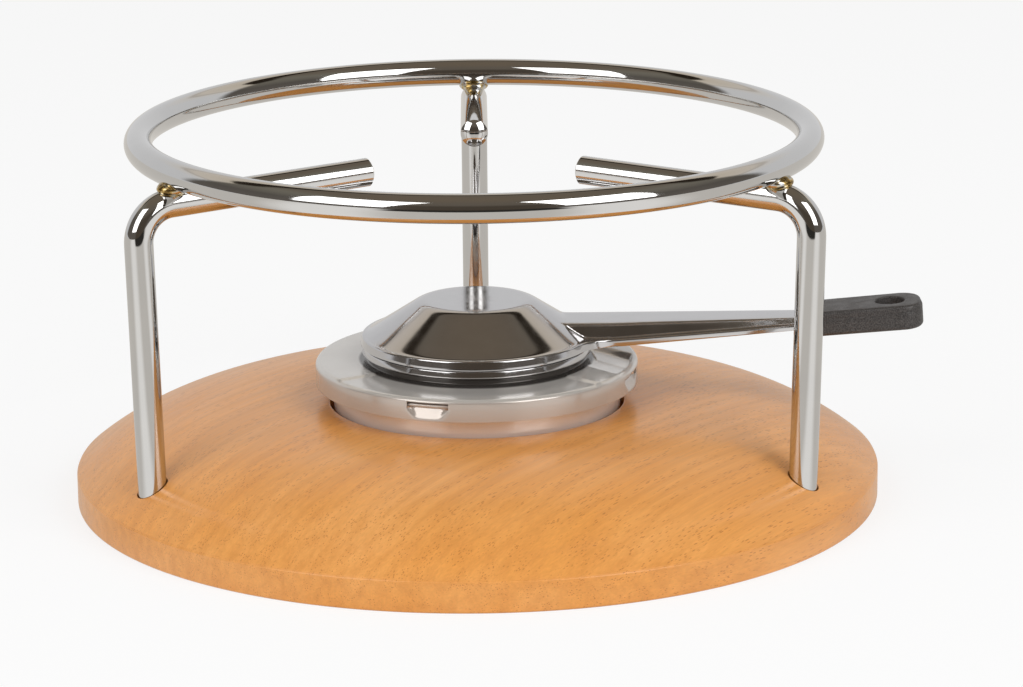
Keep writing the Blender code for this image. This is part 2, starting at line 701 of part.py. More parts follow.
def add_blade(name, inset, drop):
    """The blade's outer form, or the room inside its sheet, as a loft of sections along X."""
    start, end = sweep_ends()
    stations = [CAP_RADIUS * BLADE_START_SHARE]
    stations += [mix(start, end, share) for share in SWEEP_SHARES]
    stations += [mix(end, BLADE_END - inset, share) for share in STRAIGHT_SHARES]
    shape = bmesh.new()
    rings = [[shape.verts.new((x, y, z)) for y, z in blade_section(x, inset, drop)] for x in stations]
    for here, there in zip(rings, rings[1:]):
        for i in range(len(here)):
            j = (i + 1) % len(here)
            shape.faces.new((here[i], here[j], there[j], there[i]))
    shape.faces.new(rings[0])
    shape.faces.new(rings[-1])
    bmesh.ops.recalc_face_normals(shape, faces=shape.faces)
    mesh = bpy.data.meshes.new(name)
    shape.to_mesh(mesh)
    shape.free()
    return add_object(name, mesh, collection=CUTTERS)


def add_tang(name, room, parent=None):
    """Flat tang that runs from the blade's end wall into the grip, or the room for it."""
    start = BLADE_END - SNUFFER_SHEET
    length = SNUFFER_SHEET + TANG_LENGTH + room
    top = BLADE_TOP_END - BRIM_ROUND
    mesh = bpy.data.meshes.new(name)
    shape = bmesh.new()
    bmesh.ops.create_cube(shape, size=1.0)
    bmesh.ops.scale(shape, vec=(length, TANG_WIDTH + room * 2, SNUFFER_SHEET + room * 2), verts=shape.verts)
    bmesh.ops.translate(shape, vec=(start + length / 2, 0.0, top - SNUFFER_SHEET / 2), verts=shape.verts)
    shape.to_mesh(mesh)
    shape.free()
    return add_object(name, mesh, parent, CUTTERS)


def make_snuffer_cap(carrier):
    """Cap and blade as one sheet: the joined outer forms, less the joined forms inside the sheet."""
    cap = turned("snuffer_cap", cap_profile(0.0, CAP_BOTTOM), CAP_STEPS, parent=carrier)
    weld(cap.data)
    join(cap, add_blade("blade_form", 0.0, 0.0))
    inside = cap_profile(SNUFFER_SHEET, CAP_BOTTOM - OVERRUN)
    room = turned("cap_room", inside, CAP_STEPS, collection=CUTTERS)
    weld(room.data)
    join(room, add_blade("blade_room", SNUFFER_SHEET, OVERRUN))
    cut(cap, room)
    join(cap, add_tang("tang", 0.0))
    finish(cap, stainless("stainless_cap"))


def make_snuffer_ring(carrier):
    """Rolled ring under the brim, with a collar that stands inside the cap's turned-down edge."""
    inner = SEAT_RADIUS - SEAT_WIDTH
    middle = SEAT_RADIUS - SEAT_ROUND
    collar_outer = CAP_RADIUS - SNUFFER_SHEET - CLEARANCE
    roll_start = math.degrees(math.acos((collar_outer - middle) / SEAT_ROUND))
    collar_inner = collar_outer - SEAT_COLLAR_SHEET
    collar_top = min(SEAT_TOP + SEAT_COLLAR_HEIGHT, BRIM_TOP - SNUFFER_SHEET - CLEARANCE)
    roll = arc(middle, SEAT_BOTTOM + SEAT_ROUND, SEAT_ROUND, roll_start, -90.0, 4)
    profile = [(collar_outer, collar_top), *roll]
    profile += [(inner, SEAT_BOTTOM), (inner, SEAT_TOP), (collar_inner, SEAT_TOP), (collar_inner, collar_top)]
    ring = turned("snuffer_ring", profile, SEAT_STEPS, closed=True, parent=carrier)
    weld(ring.data)
    finish(ring, stainless("stainless_ring"))


def grip_outline():
    """Plan of the grip: straight sides that widen to a round-cornered tip."""
    tip = (GRIP_LENGTH - GRIP_TIP_RADIUS, GRIP_WIDTH_TIP / 2 - GRIP_TIP_RADIUS)
    root = (GRIP_ROOT_RADIUS, GRIP_WIDTH_ROOT / 2 - GRIP_ROOT_RADIUS)
    points = arc(tip[0], -tip[1], GRIP_TIP_RADIUS, -90.0, 0.0, GRIP_TIP_STEPS)
    points += arc(*tip, GRIP_TIP_RADIUS, 0.0, 90.0, GRIP_TIP_STEPS)
    points += arc(*root, GRIP_ROOT_RADIUS, 90.0, 180.0, GRIP_ROOT_STEPS)
    return points + arc(root[0], -root[1], GRIP_ROOT_RADIUS, 180.0, 270.0, GRIP_ROOT_STEPS)


def make_handle_grip(carrier):
    """Moulded grip with rounded edges, a hanging hole and a socket for the tang."""
    outline = grip_outline()
    curve = bpy.data.curves.new("handle_grip", "CURVE")
    curve.dimensions = "2D"
    curve.fill_mode = "BOTH"
    curve.extrude = GRIP_THICKNESS / 2
    spline = curve.splines.new("POLY")
    spline.points.add(len(outline) - 1)
    for point, (x, y) in zip(spline.points, outline):
        point.co = (x, y, 0.0, 1.0)
    spline.use_cyclic_u = True
    seat = Matrix.Translation((GRIP_START, 0.0, BLADE_TOP_END + GRIP_ABOVE_BLADE))
    sink = Matrix.Translation((0.0, 0.0, -GRIP_THICKNESS / 2))
    grip = add_object("handle_grip", curve_to_mesh(curve), carrier)
    grip.matrix_basis = seat @ Matrix.Rotation(-GRIP_TILT, 4, "Y") @ sink
    bevel = grip.modifiers.new("edges", "BEVEL")
    bevel.width = GRIP_EDGE_ROUND
    bevel.segments = 2
    bevel.limit_method = "ANGLE"
    bevel.angle_limit = math.radians(50.0)
    apply_modifiers(grip)
    hole = cylinder("hang_hole", HANG_HOLE_DIAMETER / 2, -GRIP_THICKNESS, GRIP_THICKNESS, HOLE_STEPS, grip)
    hole.location.x = GRIP_LENGTH - HANG_HOLE_FROM_TIP
    cut(grip, hole)
    cut(grip, add_tang("tang_room", CLEARANCE, carrier))
    finish(grip, new_material("black_plastic", (0.11, 0.10, 0.10), 0.55, 0.0))


def main():
    """Build the stand, then the burner's pieces, each carried by the one it rests on."""
    feet = {side: add_empty("foot_" + side, leg_frame(side)) for side in LEG_AZIMUTHS}
    make_base_plate(feet)
    make_pot_ring()
    for side, foot in feet.items():
        make_leg(side, foot)
        make_bead(side, foot)
        make_washer(side, foot)
        make_screw(side, foot)
    burner_lift = add_empty("burner_lift", Matrix.Identity(4))
    collar_turn = add_empty("collar_turn", Matrix.Identity(4), burner_lift)
    cup_lift = add_empty("cup_lift", Matrix.Identity(4), collar_turn)
    snuffer_lift = add_empty("snuffer_lift", Matrix.Identity(4), cup_lift)
    make_burner_pan(burner_lift)
    make_burner_collar(collar_turn)
    make_fuel_cup(cup_lift)
    make_snuffer_ring(snuffer_lift)
    make_snuffer_cap(snuffer_lift)
    make_handle_grip(snuffer_lift)


main()
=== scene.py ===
"""Looks of the fondue stand: beech plate, chromed wire stand, paste burner and snuffer.

Metres, +Z up, origin at the centre of the plate's underside, handle along +X, seen from -Y.
"""
import math

import bmesh
import bpy
from mathutils import Matrix, Vector


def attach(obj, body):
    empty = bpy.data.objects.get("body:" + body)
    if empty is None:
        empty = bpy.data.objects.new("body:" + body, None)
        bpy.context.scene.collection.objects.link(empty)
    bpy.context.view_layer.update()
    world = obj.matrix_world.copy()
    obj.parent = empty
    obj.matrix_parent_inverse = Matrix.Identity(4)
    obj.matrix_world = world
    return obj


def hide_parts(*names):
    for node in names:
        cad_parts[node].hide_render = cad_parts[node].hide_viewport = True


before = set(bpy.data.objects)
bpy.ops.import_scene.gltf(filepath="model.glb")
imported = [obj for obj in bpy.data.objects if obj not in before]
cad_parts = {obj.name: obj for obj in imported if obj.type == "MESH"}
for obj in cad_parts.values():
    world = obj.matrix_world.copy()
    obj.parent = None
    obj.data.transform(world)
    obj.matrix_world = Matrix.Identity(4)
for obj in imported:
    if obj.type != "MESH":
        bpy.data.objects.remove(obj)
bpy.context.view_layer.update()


# Table and studio. A white laminate table runs back as its own backdrop, with a softbox to the left
# and one to the right in front of it. Behind the camera the room is dark, which is what the chrome
# and the polished steel mirror.
MM = 0.001
CAMERA_PLACE = (0.0, -1218.47 * MM, 368.966 * MM)
CAMERA_AIM = Vector((0.00898712, 0.96700944, -0.25458197))
CAMERA_ROLL = math.radians(-0.485)
CAMERA_LENS = 136.9
CAMERA_SENSOR = 36.0
CAMERA_CLIP = 0.01
SOFTBOX_DISTANCE = 3.0
SOFTBOX_WIDTH = 1.7
SOFTBOX_HEIGHT = 2.35
SOFTBOX_WATTS = {"left": 31.5, "right": 39.5}
SOFTBOX_ELEVATION = math.radians(35.0)
SOFTBOX_BEARING = math.radians(44.0)
SOFTBOX_SIDES = {"left": -1, "right": 1}


def colour(code):
    """A linear colour from an sRGB hex value."""
    channels = [int(code[i:i + 2], 16) / 255 for i in (1, 3, 5)]
    return [c / 12.92 if c <= 0.04045 else ((c + 0.055) / 1.055) ** 2.4 for c in channels] + [1.0]


def feed(tree, node, inputs):
    """Fill a node's inputs, listed in order or by name, with values or with links.

    A link is given as the socket it comes from, or as a node, for its first output in use.
    """
    for key, value in inputs.items() if isinstance(inputs, dict) else enumerate(inputs):
        if isinstance(value, bpy.types.Node):
            value = next(socket for socket in value.outputs if socket.enabled)
        if isinstance(value, bpy.types.NodeSocket):
            tree.links.new(value, node.inputs[key])
        else:
            node.inputs[key].default_value = value


def add_node(tree, kind, inputs=(), stops=(), **settings):
    """Add a node with its settings, its inputs, and the stops of its colour ramp if it has one."""
    node = tree.nodes.new(kind)
    for name, value in settings.items():
        setattr(node, name, value)
    if stops:
        elements = node.color_ramp.elements
        for element, (position, code) in zip(elements, (stops[0], stops[-1])):
            element.position = position
            element.color = colour(code)
        for position, code in stops[1:-1]:
            elements.new(position).color = colour(code)
    feed(tree, node, inputs)
    return node


def put_in_scene(name, data):
    obj = bpy.data.objects.new(name, data)
    bpy.context.scene.collection.objects.link(obj)
    return obj


camera = put_in_scene("camera", bpy.data.cameras.new("camera"))
camera.data.lens = CAMERA_LENS
camera.data.sensor_width = CAMERA_SENSOR
camera.data.clip_start = CAMERA_CLIP
side = CAMERA_AIM.cross(Vector((0.0, 0.0, 1.0))).normalized()
over = side.cross(CAMERA_AIM)
camera_right = math.cos(CAMERA_ROLL) * side + math.sin(CAMERA_ROLL) * over
camera_up = math.cos(CAMERA_ROLL) * over - math.sin(CAMERA_ROLL) * side
turn = Matrix((camera_right, camera_up, -CAMERA_AIM)).transposed().to_4x4()
camera.matrix_world = Matrix.Translation(CAMERA_PLACE) @ turn
bpy.context.scene.camera = camera
bpy.context.scene.view_settings.view_transform = "Standard"

for label, side_sign in SOFTBOX_SIDES.items():
    lamp = bpy.data.lights.new("softbox_" + label, "AREA")
    lamp.shape = "RECTANGLE"
    lamp.size = SOFTBOX_WIDTH
    lamp.size_y = SOFTBOX_HEIGHT
    lamp.energy = SOFTBOX_WATTS[label]
    softbox = put_in_scene("softbox_" + label, lamp)
    azimuth = -math.pi / 2 + side_sign * SOFTBOX_BEARING
    level = math.cos(SOFTBOX_ELEVATION)
    way = Vector((level * math.cos(azimuth), level * math.sin(azimuth), math.sin(SOFTBOX_ELEVATION)))
    aim = way.to_track_quat("Z", "Y").to_matrix().to_4x4()
    softbox.matrix_world = Matrix.Translation(way * SOFTBOX_DISTANCE) @ aim

# The room is white for the camera and an even light for matt surfaces. Mirrors see a pale backdrop
# behind the table, beige towards its curved top edge, then a dark border and an olive ceiling, dim
# side walls, and a wall behind the camera that is nearly black low down between the softboxes.
BACKDROP_CURVE = 0.97
BACKDROP_SLOPE = 0.84
ROOM_LIGHT = 0.46
smoothly = {"interpolation_type": "SMOOTHSTEP"}
colours = {"data_type": "RGBA"}
room = bpy.data.worlds.new("room")
room.use_nodes = True
bpy.context.scene.world = room
tree = room.node_tree
tree.nodes.clear()
place = add_node(tree, "ShaderNodeTexCoord").outputs["Generated"]
axes = add_node(tree, "ShaderNodeSeparateXYZ", [place]).outputs
across = add_node(tree, "ShaderNodeMath", [axes["X"]], operation="ABSOLUTE")
squared = add_node(tree, "ShaderNodeMath", [across, across], operation="MULTIPLY")
bulge = add_node(tree, "ShaderNodeMath", [squared, BACKDROP_CURVE, axes["Y"]], operation="MULTIPLY_ADD")
depth = add_node(tree, "ShaderNodeMath", [axes["Z"], -BACKDROP_SLOPE, bulge], operation="MULTIPLY_ADD")
side_edge_place = add_node(tree, "ShaderNodeMapRange", [axes["Z"], -0.02, 0.06, -0.28, 0.27], **smoothly)
past_side = add_node(tree, "ShaderNodeMath", [axes["Y"], side_edge_place], operation="SUBTRACT")
behind = add_node(tree, "ShaderNodeMapRange", [past_side, -0.07, 0.07], **smoothly)
below_top = add_node(tree, "ShaderNodeMapRange", [depth, 0.08, 0.13], **smoothly)
backdrop = add_node(tree, "ShaderNodeMath", [below_top, behind], operation="MULTIPLY")
front_wall = add_node(tree, "ShaderNodeValToRGB", [axes["Z"]], stops=[
    (0.0, "#52493F"), (0.42, "#524A41"), (0.60, "#6C645A"), (0.80, "#6F665B"), (1.0, "#766A5B"),
])
side_wall = add_node(tree, "ShaderNodeValToRGB", [axes["Z"]], stops=[
    (0.0, "#69635D"), (0.45, "#615C56"), (0.80, "#7C776C"), (1.0, "#766A5B"),
])
to_side = add_node(tree, "ShaderNodeMapRange", [across, 0.30, 0.55], **smoothly)
walls = add_node(tree, "ShaderNodeMix", {0: to_side, 6: front_wall, 7: side_wall}, **colours)
near_border = add_node(tree, "ShaderNodeMapRange", [depth, -0.17, -0.06], **smoothly)
border = add_node(tree, "ShaderNodeMath", [near_border, behind], operation="MULTIPLY")
bordered = add_node(tree, "ShaderNodeMix", {0: border, 6: walls, 7: colour("#2D261E")}, **colours)
pale = add_node(tree, "ShaderNodeValToRGB", [depth], stops=[
    (0.05, "#D4C8B6"), (0.36, "#DAD1C5"), (0.42, "#C4BDB5"), (0.46, "#DFDBD6"), (0.62, "#DDDDDE"),
])
mirror_room = add_node(tree, "ShaderNodeMix", {0: backdrop, 6: bordered, 7: pale}, **colours)
for_mirrors = add_node(tree, "ShaderNodeBackground", [mirror_room])
for_matt = add_node(tree, "ShaderNodeBackground", [colour("#FFFFFF"), ROOM_LIGHT])
for_camera = add_node(tree, "ShaderNodeBackground", [colour("#F9F9F9")])


def by_ray(tree, end, camera_shader, mirror_shader, matt_shader):
    """End a tree with one shader for the camera, one for mirrors and one for matt surfaces."""
    path = add_node(tree, "ShaderNodeLightPath").outputs
    glossy_or_clear = [path["Is Glossy Ray"], path["Is Transmission Ray"]]
    mirrors = add_node(tree, "ShaderNodeMath", glossy_or_clear, operation="MAXIMUM")
    indirect = add_node(tree, "ShaderNodeMixShader", [mirrors, matt_shader, mirror_shader])
    every = add_node(tree, "ShaderNodeMixShader", [path["Is Camera Ray"], indirect, camera_shader])
    add_node(tree, end, {"Surface": every})


by_ray(tree, "ShaderNodeOutputWorld", for_camera, for_mirrors, for_matt)

# The table is white to the camera, with the stand's soft shadow kept. In mirrors it is a pale satin
# top, brighter where it throws back the softboxes, that ends half a metre in front of the stand.
TABLE_SIZE = 30.0
TABLE_FRONT = -0.52
TABLE_EDGE_BLUR = 0.05
TABLE_WHITE = 0.775
half = TABLE_SIZE / 2
corners = [(-half, -half, 0.0), (half, -half, 0.0), (half, half, 0.0), (-half, half, 0.0)]
table_mesh = bpy.data.meshes.new("white_table")
table_mesh.from_pydata(corners, [], [(0, 1, 2, 3)])
table = put_in_scene("white_table", table_mesh)
laminate = bpy.data.materials.new("white_laminate_table")
laminate.use_nodes = True
tree = laminate.node_tree
tree.nodes.clear()
place = add_node(tree, "ShaderNodeTexCoord").outputs["Object"]
axes = add_node(tree, "ShaderNodeSeparateXYZ", [place]).outputs
aside = add_node(tree, "ShaderNodeMath", [axes["X"]], operation="ABSOLUTE")
ahead = add_node(tree, "ShaderNodeMath", [axes["Y"], -1.0], operation="MULTIPLY")
bearing = add_node(tree, "ShaderNodeMath", [aside, ahead], operation="ARCTAN2")
past_softbox = add_node(tree, "ShaderNodeMath", [bearing, SOFTBOX_BEARING], operation="SUBTRACT")
off_softbox = add_node(tree, "ShaderNodeMath", [past_softbox], operation="ABSOLUTE")
glow = add_node(tree, "ShaderNodeMapRange", [off_softbox, 0.10, 0.45, 1.0, 0.0], **smoothly)
lit = add_node(tree, "ShaderNodeMix", {0: glow, 6: colour("#D8D4CE"), 7: colour("#FFFDFA")}, **colours)
edge_band = [TABLE_FRONT - TABLE_EDGE_BLUR, TABLE_FRONT + TABLE_EDGE_BLUR]
past_edge = add_node(tree, "ShaderNodeMapRange", [axes["Y"], *edge_band, 1.0, 0.0], **smoothly)
in_front = add_node(tree, "ShaderNodeMapRange", [bearing, 0.42, 0.55, 1.0, 0.0], **smoothly)
off_table = add_node(tree, "ShaderNodeMath", [past_edge, in_front], operation="MULTIPLY")
top_colour = add_node(tree, "ShaderNodeMix", {0: off_table, 6: lit, 7: colour("#353330")}, **colours)
in_mirrors = add_node(tree, "ShaderNodeEmission", [top_colour])
matt = add_node(tree, "ShaderNodeBsdfDiffuse", [colour("#E7E7E7")])
shadow_keeper = add_node(tree, "ShaderNodeBsdfDiffuse", [colour("#818181")])
white = add_node(tree, "ShaderNodeEmission", [colour("#FFFFFF"), TABLE_WHITE])
in_camera = add_node(tree, "ShaderNodeAddShader", [shadow_keeper, white])
by_ray(tree, "ShaderNodeOutputMaterial", in_camera, in_mirrors, matt)
table_mesh.materials.append(laminate)


# Beech plate. A disc turned from glued beech boards: domed top, low straight rim, a round recess for
# the burner, three blind holes for the legs, and counterbores for their screws from below.
PLATE_RADIUS = 130.0 * MM
RIM_HEIGHT = 10.0 * MM
CROWN_RISE = 20.4 * MM
CROWN_POWER = 5.2
RIM_ROUND = 0.6 * MM
FOOT_ROUND = 0.8 * MM
CROWN_HEIGHT = RIM_HEIGHT + CROWN_RISE
CROWN_STEPS = 59
PLATE_STEPS = 256
RECESS_RADIUS = 47.7 * MM
RECESS_FLOOR = CROWN_HEIGHT - 11.4 * MM
RECESS_ROUND = 0.8 * MM
WIRE_RADIUS = 4.5 * MM
LEG_FOOT_RADIUS = 116.5 * MM
LEG_LEAN = math.radians(1.4)
LEG_AZIMUTHS = {"left": math.radians(210.0), "right": math.radians(330.0), "rear": math.radians(90.0)}
LEG_HOLE_RADIUS = WIRE_RADIUS + 0.4 * MM
LEG_HOLE_FLOOR = 8.7 * MM
SCREW_HOLE_RADIUS = 2.8 * MM
COUNTERBORE_RADIUS = 7.0 * MM
COUNTERBORE_DEPTH = 5.5 * MM
DRILL_OVERRUN = 2.0 * MM
DRILL_STEPS = 48
GRAIN_ANGLE = math.radians(52.0)
GRAIN_DIP = math.radians(4.0)


def arc(centre_r, centre_z, radius, start, end, steps):
    """Points of an arc, with angles in degrees from the first axis towards the second."""
    angles = [math.radians(start + (end - start) * i / steps) for i in range(steps + 1)]
    return [(centre_r + radius * math.cos(a), centre_z + radius * math.sin(a)) for a in angles]


def smooth_by_angle(obj, degrees):
    """Shade an object smooth, but for its edges that are sharper than an angle."""
    obj.data.shade_smooth()
    obj.data.set_sharp_from_angle(angle=math.radians(degrees))


def finish_mesh(obj, material, degrees):
    """Give an object its one material, and smooth it by angle."""
    obj.data.materials.clear()
    obj.data.materials.append(material)
    smooth_by_angle(obj, degrees)


def as_object(name, shape):
    """Turn a bmesh into an object."""
    mesh = bpy.data.meshes.new(name)
    shape.to_mesh(mesh)
    shape.free()
    return put_in_scene(name, mesh)


def turned(name, profile, steps, closed=False):
    """Turn a profile of (radius, height) points about Z into a closed mesh; radius 0 is a pole."""
    shape = bmesh.new()
    rings = []
    for r, z in profile:
        if r < MM / 1000:
            rings.append([shape.verts.new((0.0, 0.0, z))] * steps)
        else:
            angles = [math.tau * i / steps for i in range(steps)]
            rings.append([shape.verts.new((r * math.cos(a), r * math.sin(a), z)) for a in angles])
    pairs = list(zip(rings, rings[1:])) + ([(rings[-1], rings[0])] if closed else [])
    for here, there in pairs:
        for i in range(steps):
            j = (i + 1) % steps
            corners = dict.fromkeys((here[i], there[i], there[j], here[j]))
            if len(corners) > 2:
                shape.faces.new(tuple(corners))
    bmesh.ops.recalc_face_normals(shape, faces=shape.faces)
    return as_object(name, shape)


def apply_modifiers(obj):
    """Turn an object's modifiers into its plain mesh."""
    bpy.context.view_layer.update()
    graph = bpy.context.evaluated_depsgraph_get()
    mesh = bpy.data.meshes.new_from_object(obj.evaluated_get(graph))
    obj.modifiers.clear()
    obj.data = mesh


def cut(obj, tool):
    """Cut an object with a closed tool, which is then removed."""
    modifier = obj.modifiers.new("cut", "BOOLEAN")
    modifier.operation = "DIFFERENCE"
    modifier.solver = "EXACT"
    modifier.object = tool
    apply_modifiers(obj)
    bpy.data.objects.remove(tool, do_unlink=True)


def leg_frame(label):
    """Place of a leg: its foot on the plate's underside, +Z up the leg, -X towards the middle."""
    foot = Matrix.Translation((LEG_FOOT_RADIUS, 0.0, 0.0))
    return Matrix.Rotation(LEG_AZIMUTHS[label], 4, "Z") @ foot @ Matrix.Rotation(LEG_LEAN, 4, "Y")


def crown_height(radius):
    return RIM_HEIGHT + CROWN_RISE * (1 - (radius / PLATE_RADIUS) ** CROWN_POWER)


def new_material(name):
    """A material with its tree, its shader, and its object coordinates."""
    material = bpy.data.materials.new(name)
    material.use_nodes = True
    nodes = material.node_tree.nodes
    place = nodes.new("ShaderNodeTexCoord").outputs["Object"]
    return material, material.node_tree, nodes["Principled BSDF"], place


def fill_shader(tree, shader, tone, rough, relief, values):
    """Give a shader its colour, roughness, relief and plain values.

    Roughness lists a pattern, its range and the range it becomes; relief, a pattern, its strength
    and its depth.
    """
    pattern, strength, depth = relief
    bump = add_node(tree, "ShaderNodeBump", {"Height": pattern, "Strength": strength, "Distance": depth})
    roughness = add_node(tree, "ShaderNodeMapRange", rough)
    feed(tree, shader, {"Base Color": tone, "Roughness": roughness, "Normal": bump, **values})


# Lacquered beech: warm orange-tan with soft growth bands some 3 mm apart, fibres under a millimetre
# wide and the short dark flecks of its rays, in rows. The satin lacquer over it pales the wood where
# it is seen at a low angle.
beech, tree, shader, place = new_material("steamed_beech_satin_lacquer")
grain_turn = (0.0, GRAIN_DIP, -GRAIN_ANGLE)
along = add_node(tree, "ShaderNodeMapping", {"Vector": place, "Rotation": grain_turn})
grain = {}
for label, scale, detail, roughness, distortion in (
    ("rings", (6.0, 330.0, 240.0), 3.0, 0.55, 0.15),
    ("cloud", (14.0, 38.0, 38.0), 2.0, 0.5, 0.0),
    ("fibres", (60.0, 1500.0, 1500.0), 3.0, 0.5, 0.0),
    ("rows", (16.0, 300.0, 260.0), 1.0, 0.5, 0.0),
):
    drawn_out = add_node(tree, "ShaderNodeMapping", {"Vector": along, "Scale": scale})
    grain[label] = add_node(tree, "ShaderNodeTexNoise", {
        "Vector": drawn_out, "Scale": 1.0,
        "Detail": detail, "Roughness": roughness, "Distortion": distortion,
    })
heart_share = add_node(tree, "ShaderNodeMapRange", [grain["cloud"], 0.3, 0.7])
heart_colours = {0: heart_share, 6: colour("#E89C48"), 7: colour("#F0AB60")}
heart = add_node(tree, "ShaderNodeMix", heart_colours, **colours)
ring_share = add_node(tree, "ShaderNodeMapRange", [grain["rings"], 0.35, 0.70, 0.0, 0.55])
ringed = add_node(tree, "ShaderNodeMix", {0: ring_share, 6: heart, 7: colour("#D58C42")}, **colours)
fibre_shade = add_node(tree, "ShaderNodeMapRange", [grain["fibres"], 0.25, 0.75, 0.93, 1.06])
shaded = {0: 1.0, 6: ringed, 7: fibre_shade}
fibred = add_node(tree, "ShaderNodeMix", shaded, blend_type="MULTIPLY", **colours)
ray_place = add_node(tree, "ShaderNodeMapping", {"Vector": along, "Scale": (210.0, 1700.0, 1700.0)})
rays = add_node(tree, "ShaderNodeTexVoronoi", {"Vector": ray_place, "Scale": 1.0})
fleck = add_node(tree, "ShaderNodeMapRange", [rays.outputs["Distance"], 0.20, 0.31, 1.0, 0.0])
in_row = add_node(tree, "ShaderNodeMapRange", [grain["rows"], 0.42, 0.58, 0.05, 0.58])
fleck_share = add_node(tree, "ShaderNodeMath", [fleck, in_row], operation="MULTIPLY")
flecked = add_node(tree, "ShaderNodeMix", {0: fleck_share, 6: fibred, 7: colour("#A65E29")}, **colours)
rough = [grain["fibres"], 0.3, 0.7, 0.30, 0.42]
lacquer = {"IOR": 1.5, "Coat Weight": 0.25, "Coat Roughness": 0.14}
fill_shader(tree, shader, flecked, rough, (grain["fibres"], 0.12, 0.05 * MM), lacquer)

profile = [(0.0, RECESS_FLOOR), (RECESS_RADIUS, RECESS_FLOOR)]
edge = crown_height(RECESS_RADIUS)
profile += arc(RECESS_RADIUS + RECESS_ROUND, edge - RECESS_ROUND, RECESS_ROUND, 180.0, 90.0, 5)
crown_end = PLATE_RADIUS - RIM_ROUND * 0.55
for i in range(1, CROWN_STEPS + 1):
    share = 1 - (1 - i / CROWN_STEPS) ** 1.6
    radius = RECESS_RADIUS + RECESS_ROUND + (crown_end - RECESS_RADIUS - RECESS_ROUND) * share
    profile.append((radius, crown_height(radius)))
profile += arc(PLATE_RADIUS - RIM_ROUND, RIM_HEIGHT - RIM_ROUND, RIM_ROUND, 52.0, 0.0, 6)
profile += arc(PLATE_RADIUS - FOOT_ROUND, FOOT_ROUND, FOOT_ROUND, 0.0, -90.0, 5)
profile.append((0.0, 0.0))
plate = turned("turned_plate", profile, PLATE_STEPS)
for label in LEG_AZIMUTHS:
    for radius, low, high in (
        (LEG_HOLE_RADIUS, LEG_HOLE_FLOOR, CROWN_HEIGHT),
        (SCREW_HOLE_RADIUS, -DRILL_OVERRUN, CROWN_HEIGHT),
        (COUNTERBORE_RADIUS, -DRILL_OVERRUN, COUNTERBORE_DEPTH),
    ):
        drill = turned("drill", [(0.0, high), (radius, high), (radius, low), (0.0, low)], DRILL_STEPS)
        drill.data.transform(leg_frame(label))
        cut(plate, drill)
finish_mesh(plate, beech, 30.0)
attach(plate, "stand")
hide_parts("base_plate")


# Wire legs. Three steel wires, 9 mm thick, each bent over in one tight bend to a level arm whose cut
# end is domed by barrel polishing, then chromed. Their feet stand in the plate's holes.
STAND_HEIGHT = 121.8 * MM
RING_HEIGHT = STAND_HEIGHT - WIRE_RADIUS
RING_RADIUS = 107.0 * MM
BEND_RADIUS = 11.5 * MM
BEND_STEPS = 28
ARM_END_RADIUS = 37.5 * MM
LEG_END = 9.0 * MM
FOOT_TAPER = 0.6 * MM
FOOT_END_SHARE = 0.88
DOME_SAG = 1.7 * MM
DOME_STEPS = 10
DOME_TIP_SHARE = 0.02
EDGE_GAP = 0.3 * MM
WIRE_SIDES = 48

# Nickel-chrome plate: a cool mirror, a little hazy in patches, that the drawn wire under it and the
# polishing leave faintly wavy, some 6 mm from wave to wave.
chrome, tree, shader, place = new_material("bright_chrome_plate")
waves = {"Vector": place, "Scale": 160.0, "Detail": 5.0, "Roughness": 0.6}
ripple = add_node(tree, "ShaderNodeTexNoise", waves)
clouds = {"Vector": place, "Scale": 60.0, "Detail": 4.0, "Roughness": 0.6}
haze = add_node(tree, "ShaderNodeTexNoise", clouds)
tint = add_node(tree, "ShaderNodeMix", {0: haze, 6: colour("#CCCCCC"), 7: colour("#D6D5D3")}, **colours)
metal = {"Metallic": 1.0}
fill_shader(tree, shader, tint, [haze, 0.35, 0.7, 0.03, 0.075], (ripple, 0.25, 0.04 * MM), metal)


def new_shape_tree(name, kinds):
    """A Geometry Nodes tree that takes a shape and named inputs, and its sockets that give them."""
    tree = bpy.data.node_groups.new(name, "GeometryNodeTree")
    tree.interface.new_socket("Geometry", in_out="INPUT", socket_type="NodeSocketGeometry")
    for label, kind in kinds.items():
        tree.interface.new_socket(label, in_out="INPUT", socket_type="NodeSocket" + kind)
    tree.interface.new_socket("Geometry", in_out="OUTPUT", socket_type="NodeSocketGeometry")
    return tree, add_node(tree, "NodeGroupInput").outputs


def end_shape_tree(tree, shape, finish):
    """Make a tree's shape real, give it its material and hand it out."""
    plain = add_node(tree, "GeometryNodeRealizeInstances", [shape])
    finished = add_node(tree, "GeometryNodeSetMaterial", {"Geometry": plain, "Material": finish})
    add_node(tree, "NodeGroupOutput", {"Geometry": finished})


def bake_nodes(obj, tree, values):
    """Run a node tree on an object with values for its named inputs, and keep the plain mesh."""
    modifier = obj.modifiers.new("nodes", "NODES")
    modifier.node_group = tree
    for item in tree.interface.items_tree:
        if item.in_out == "INPUT" and item.name in values:
            modifier[item.identifier] = values[item.name]
    apply_modifiers(obj)


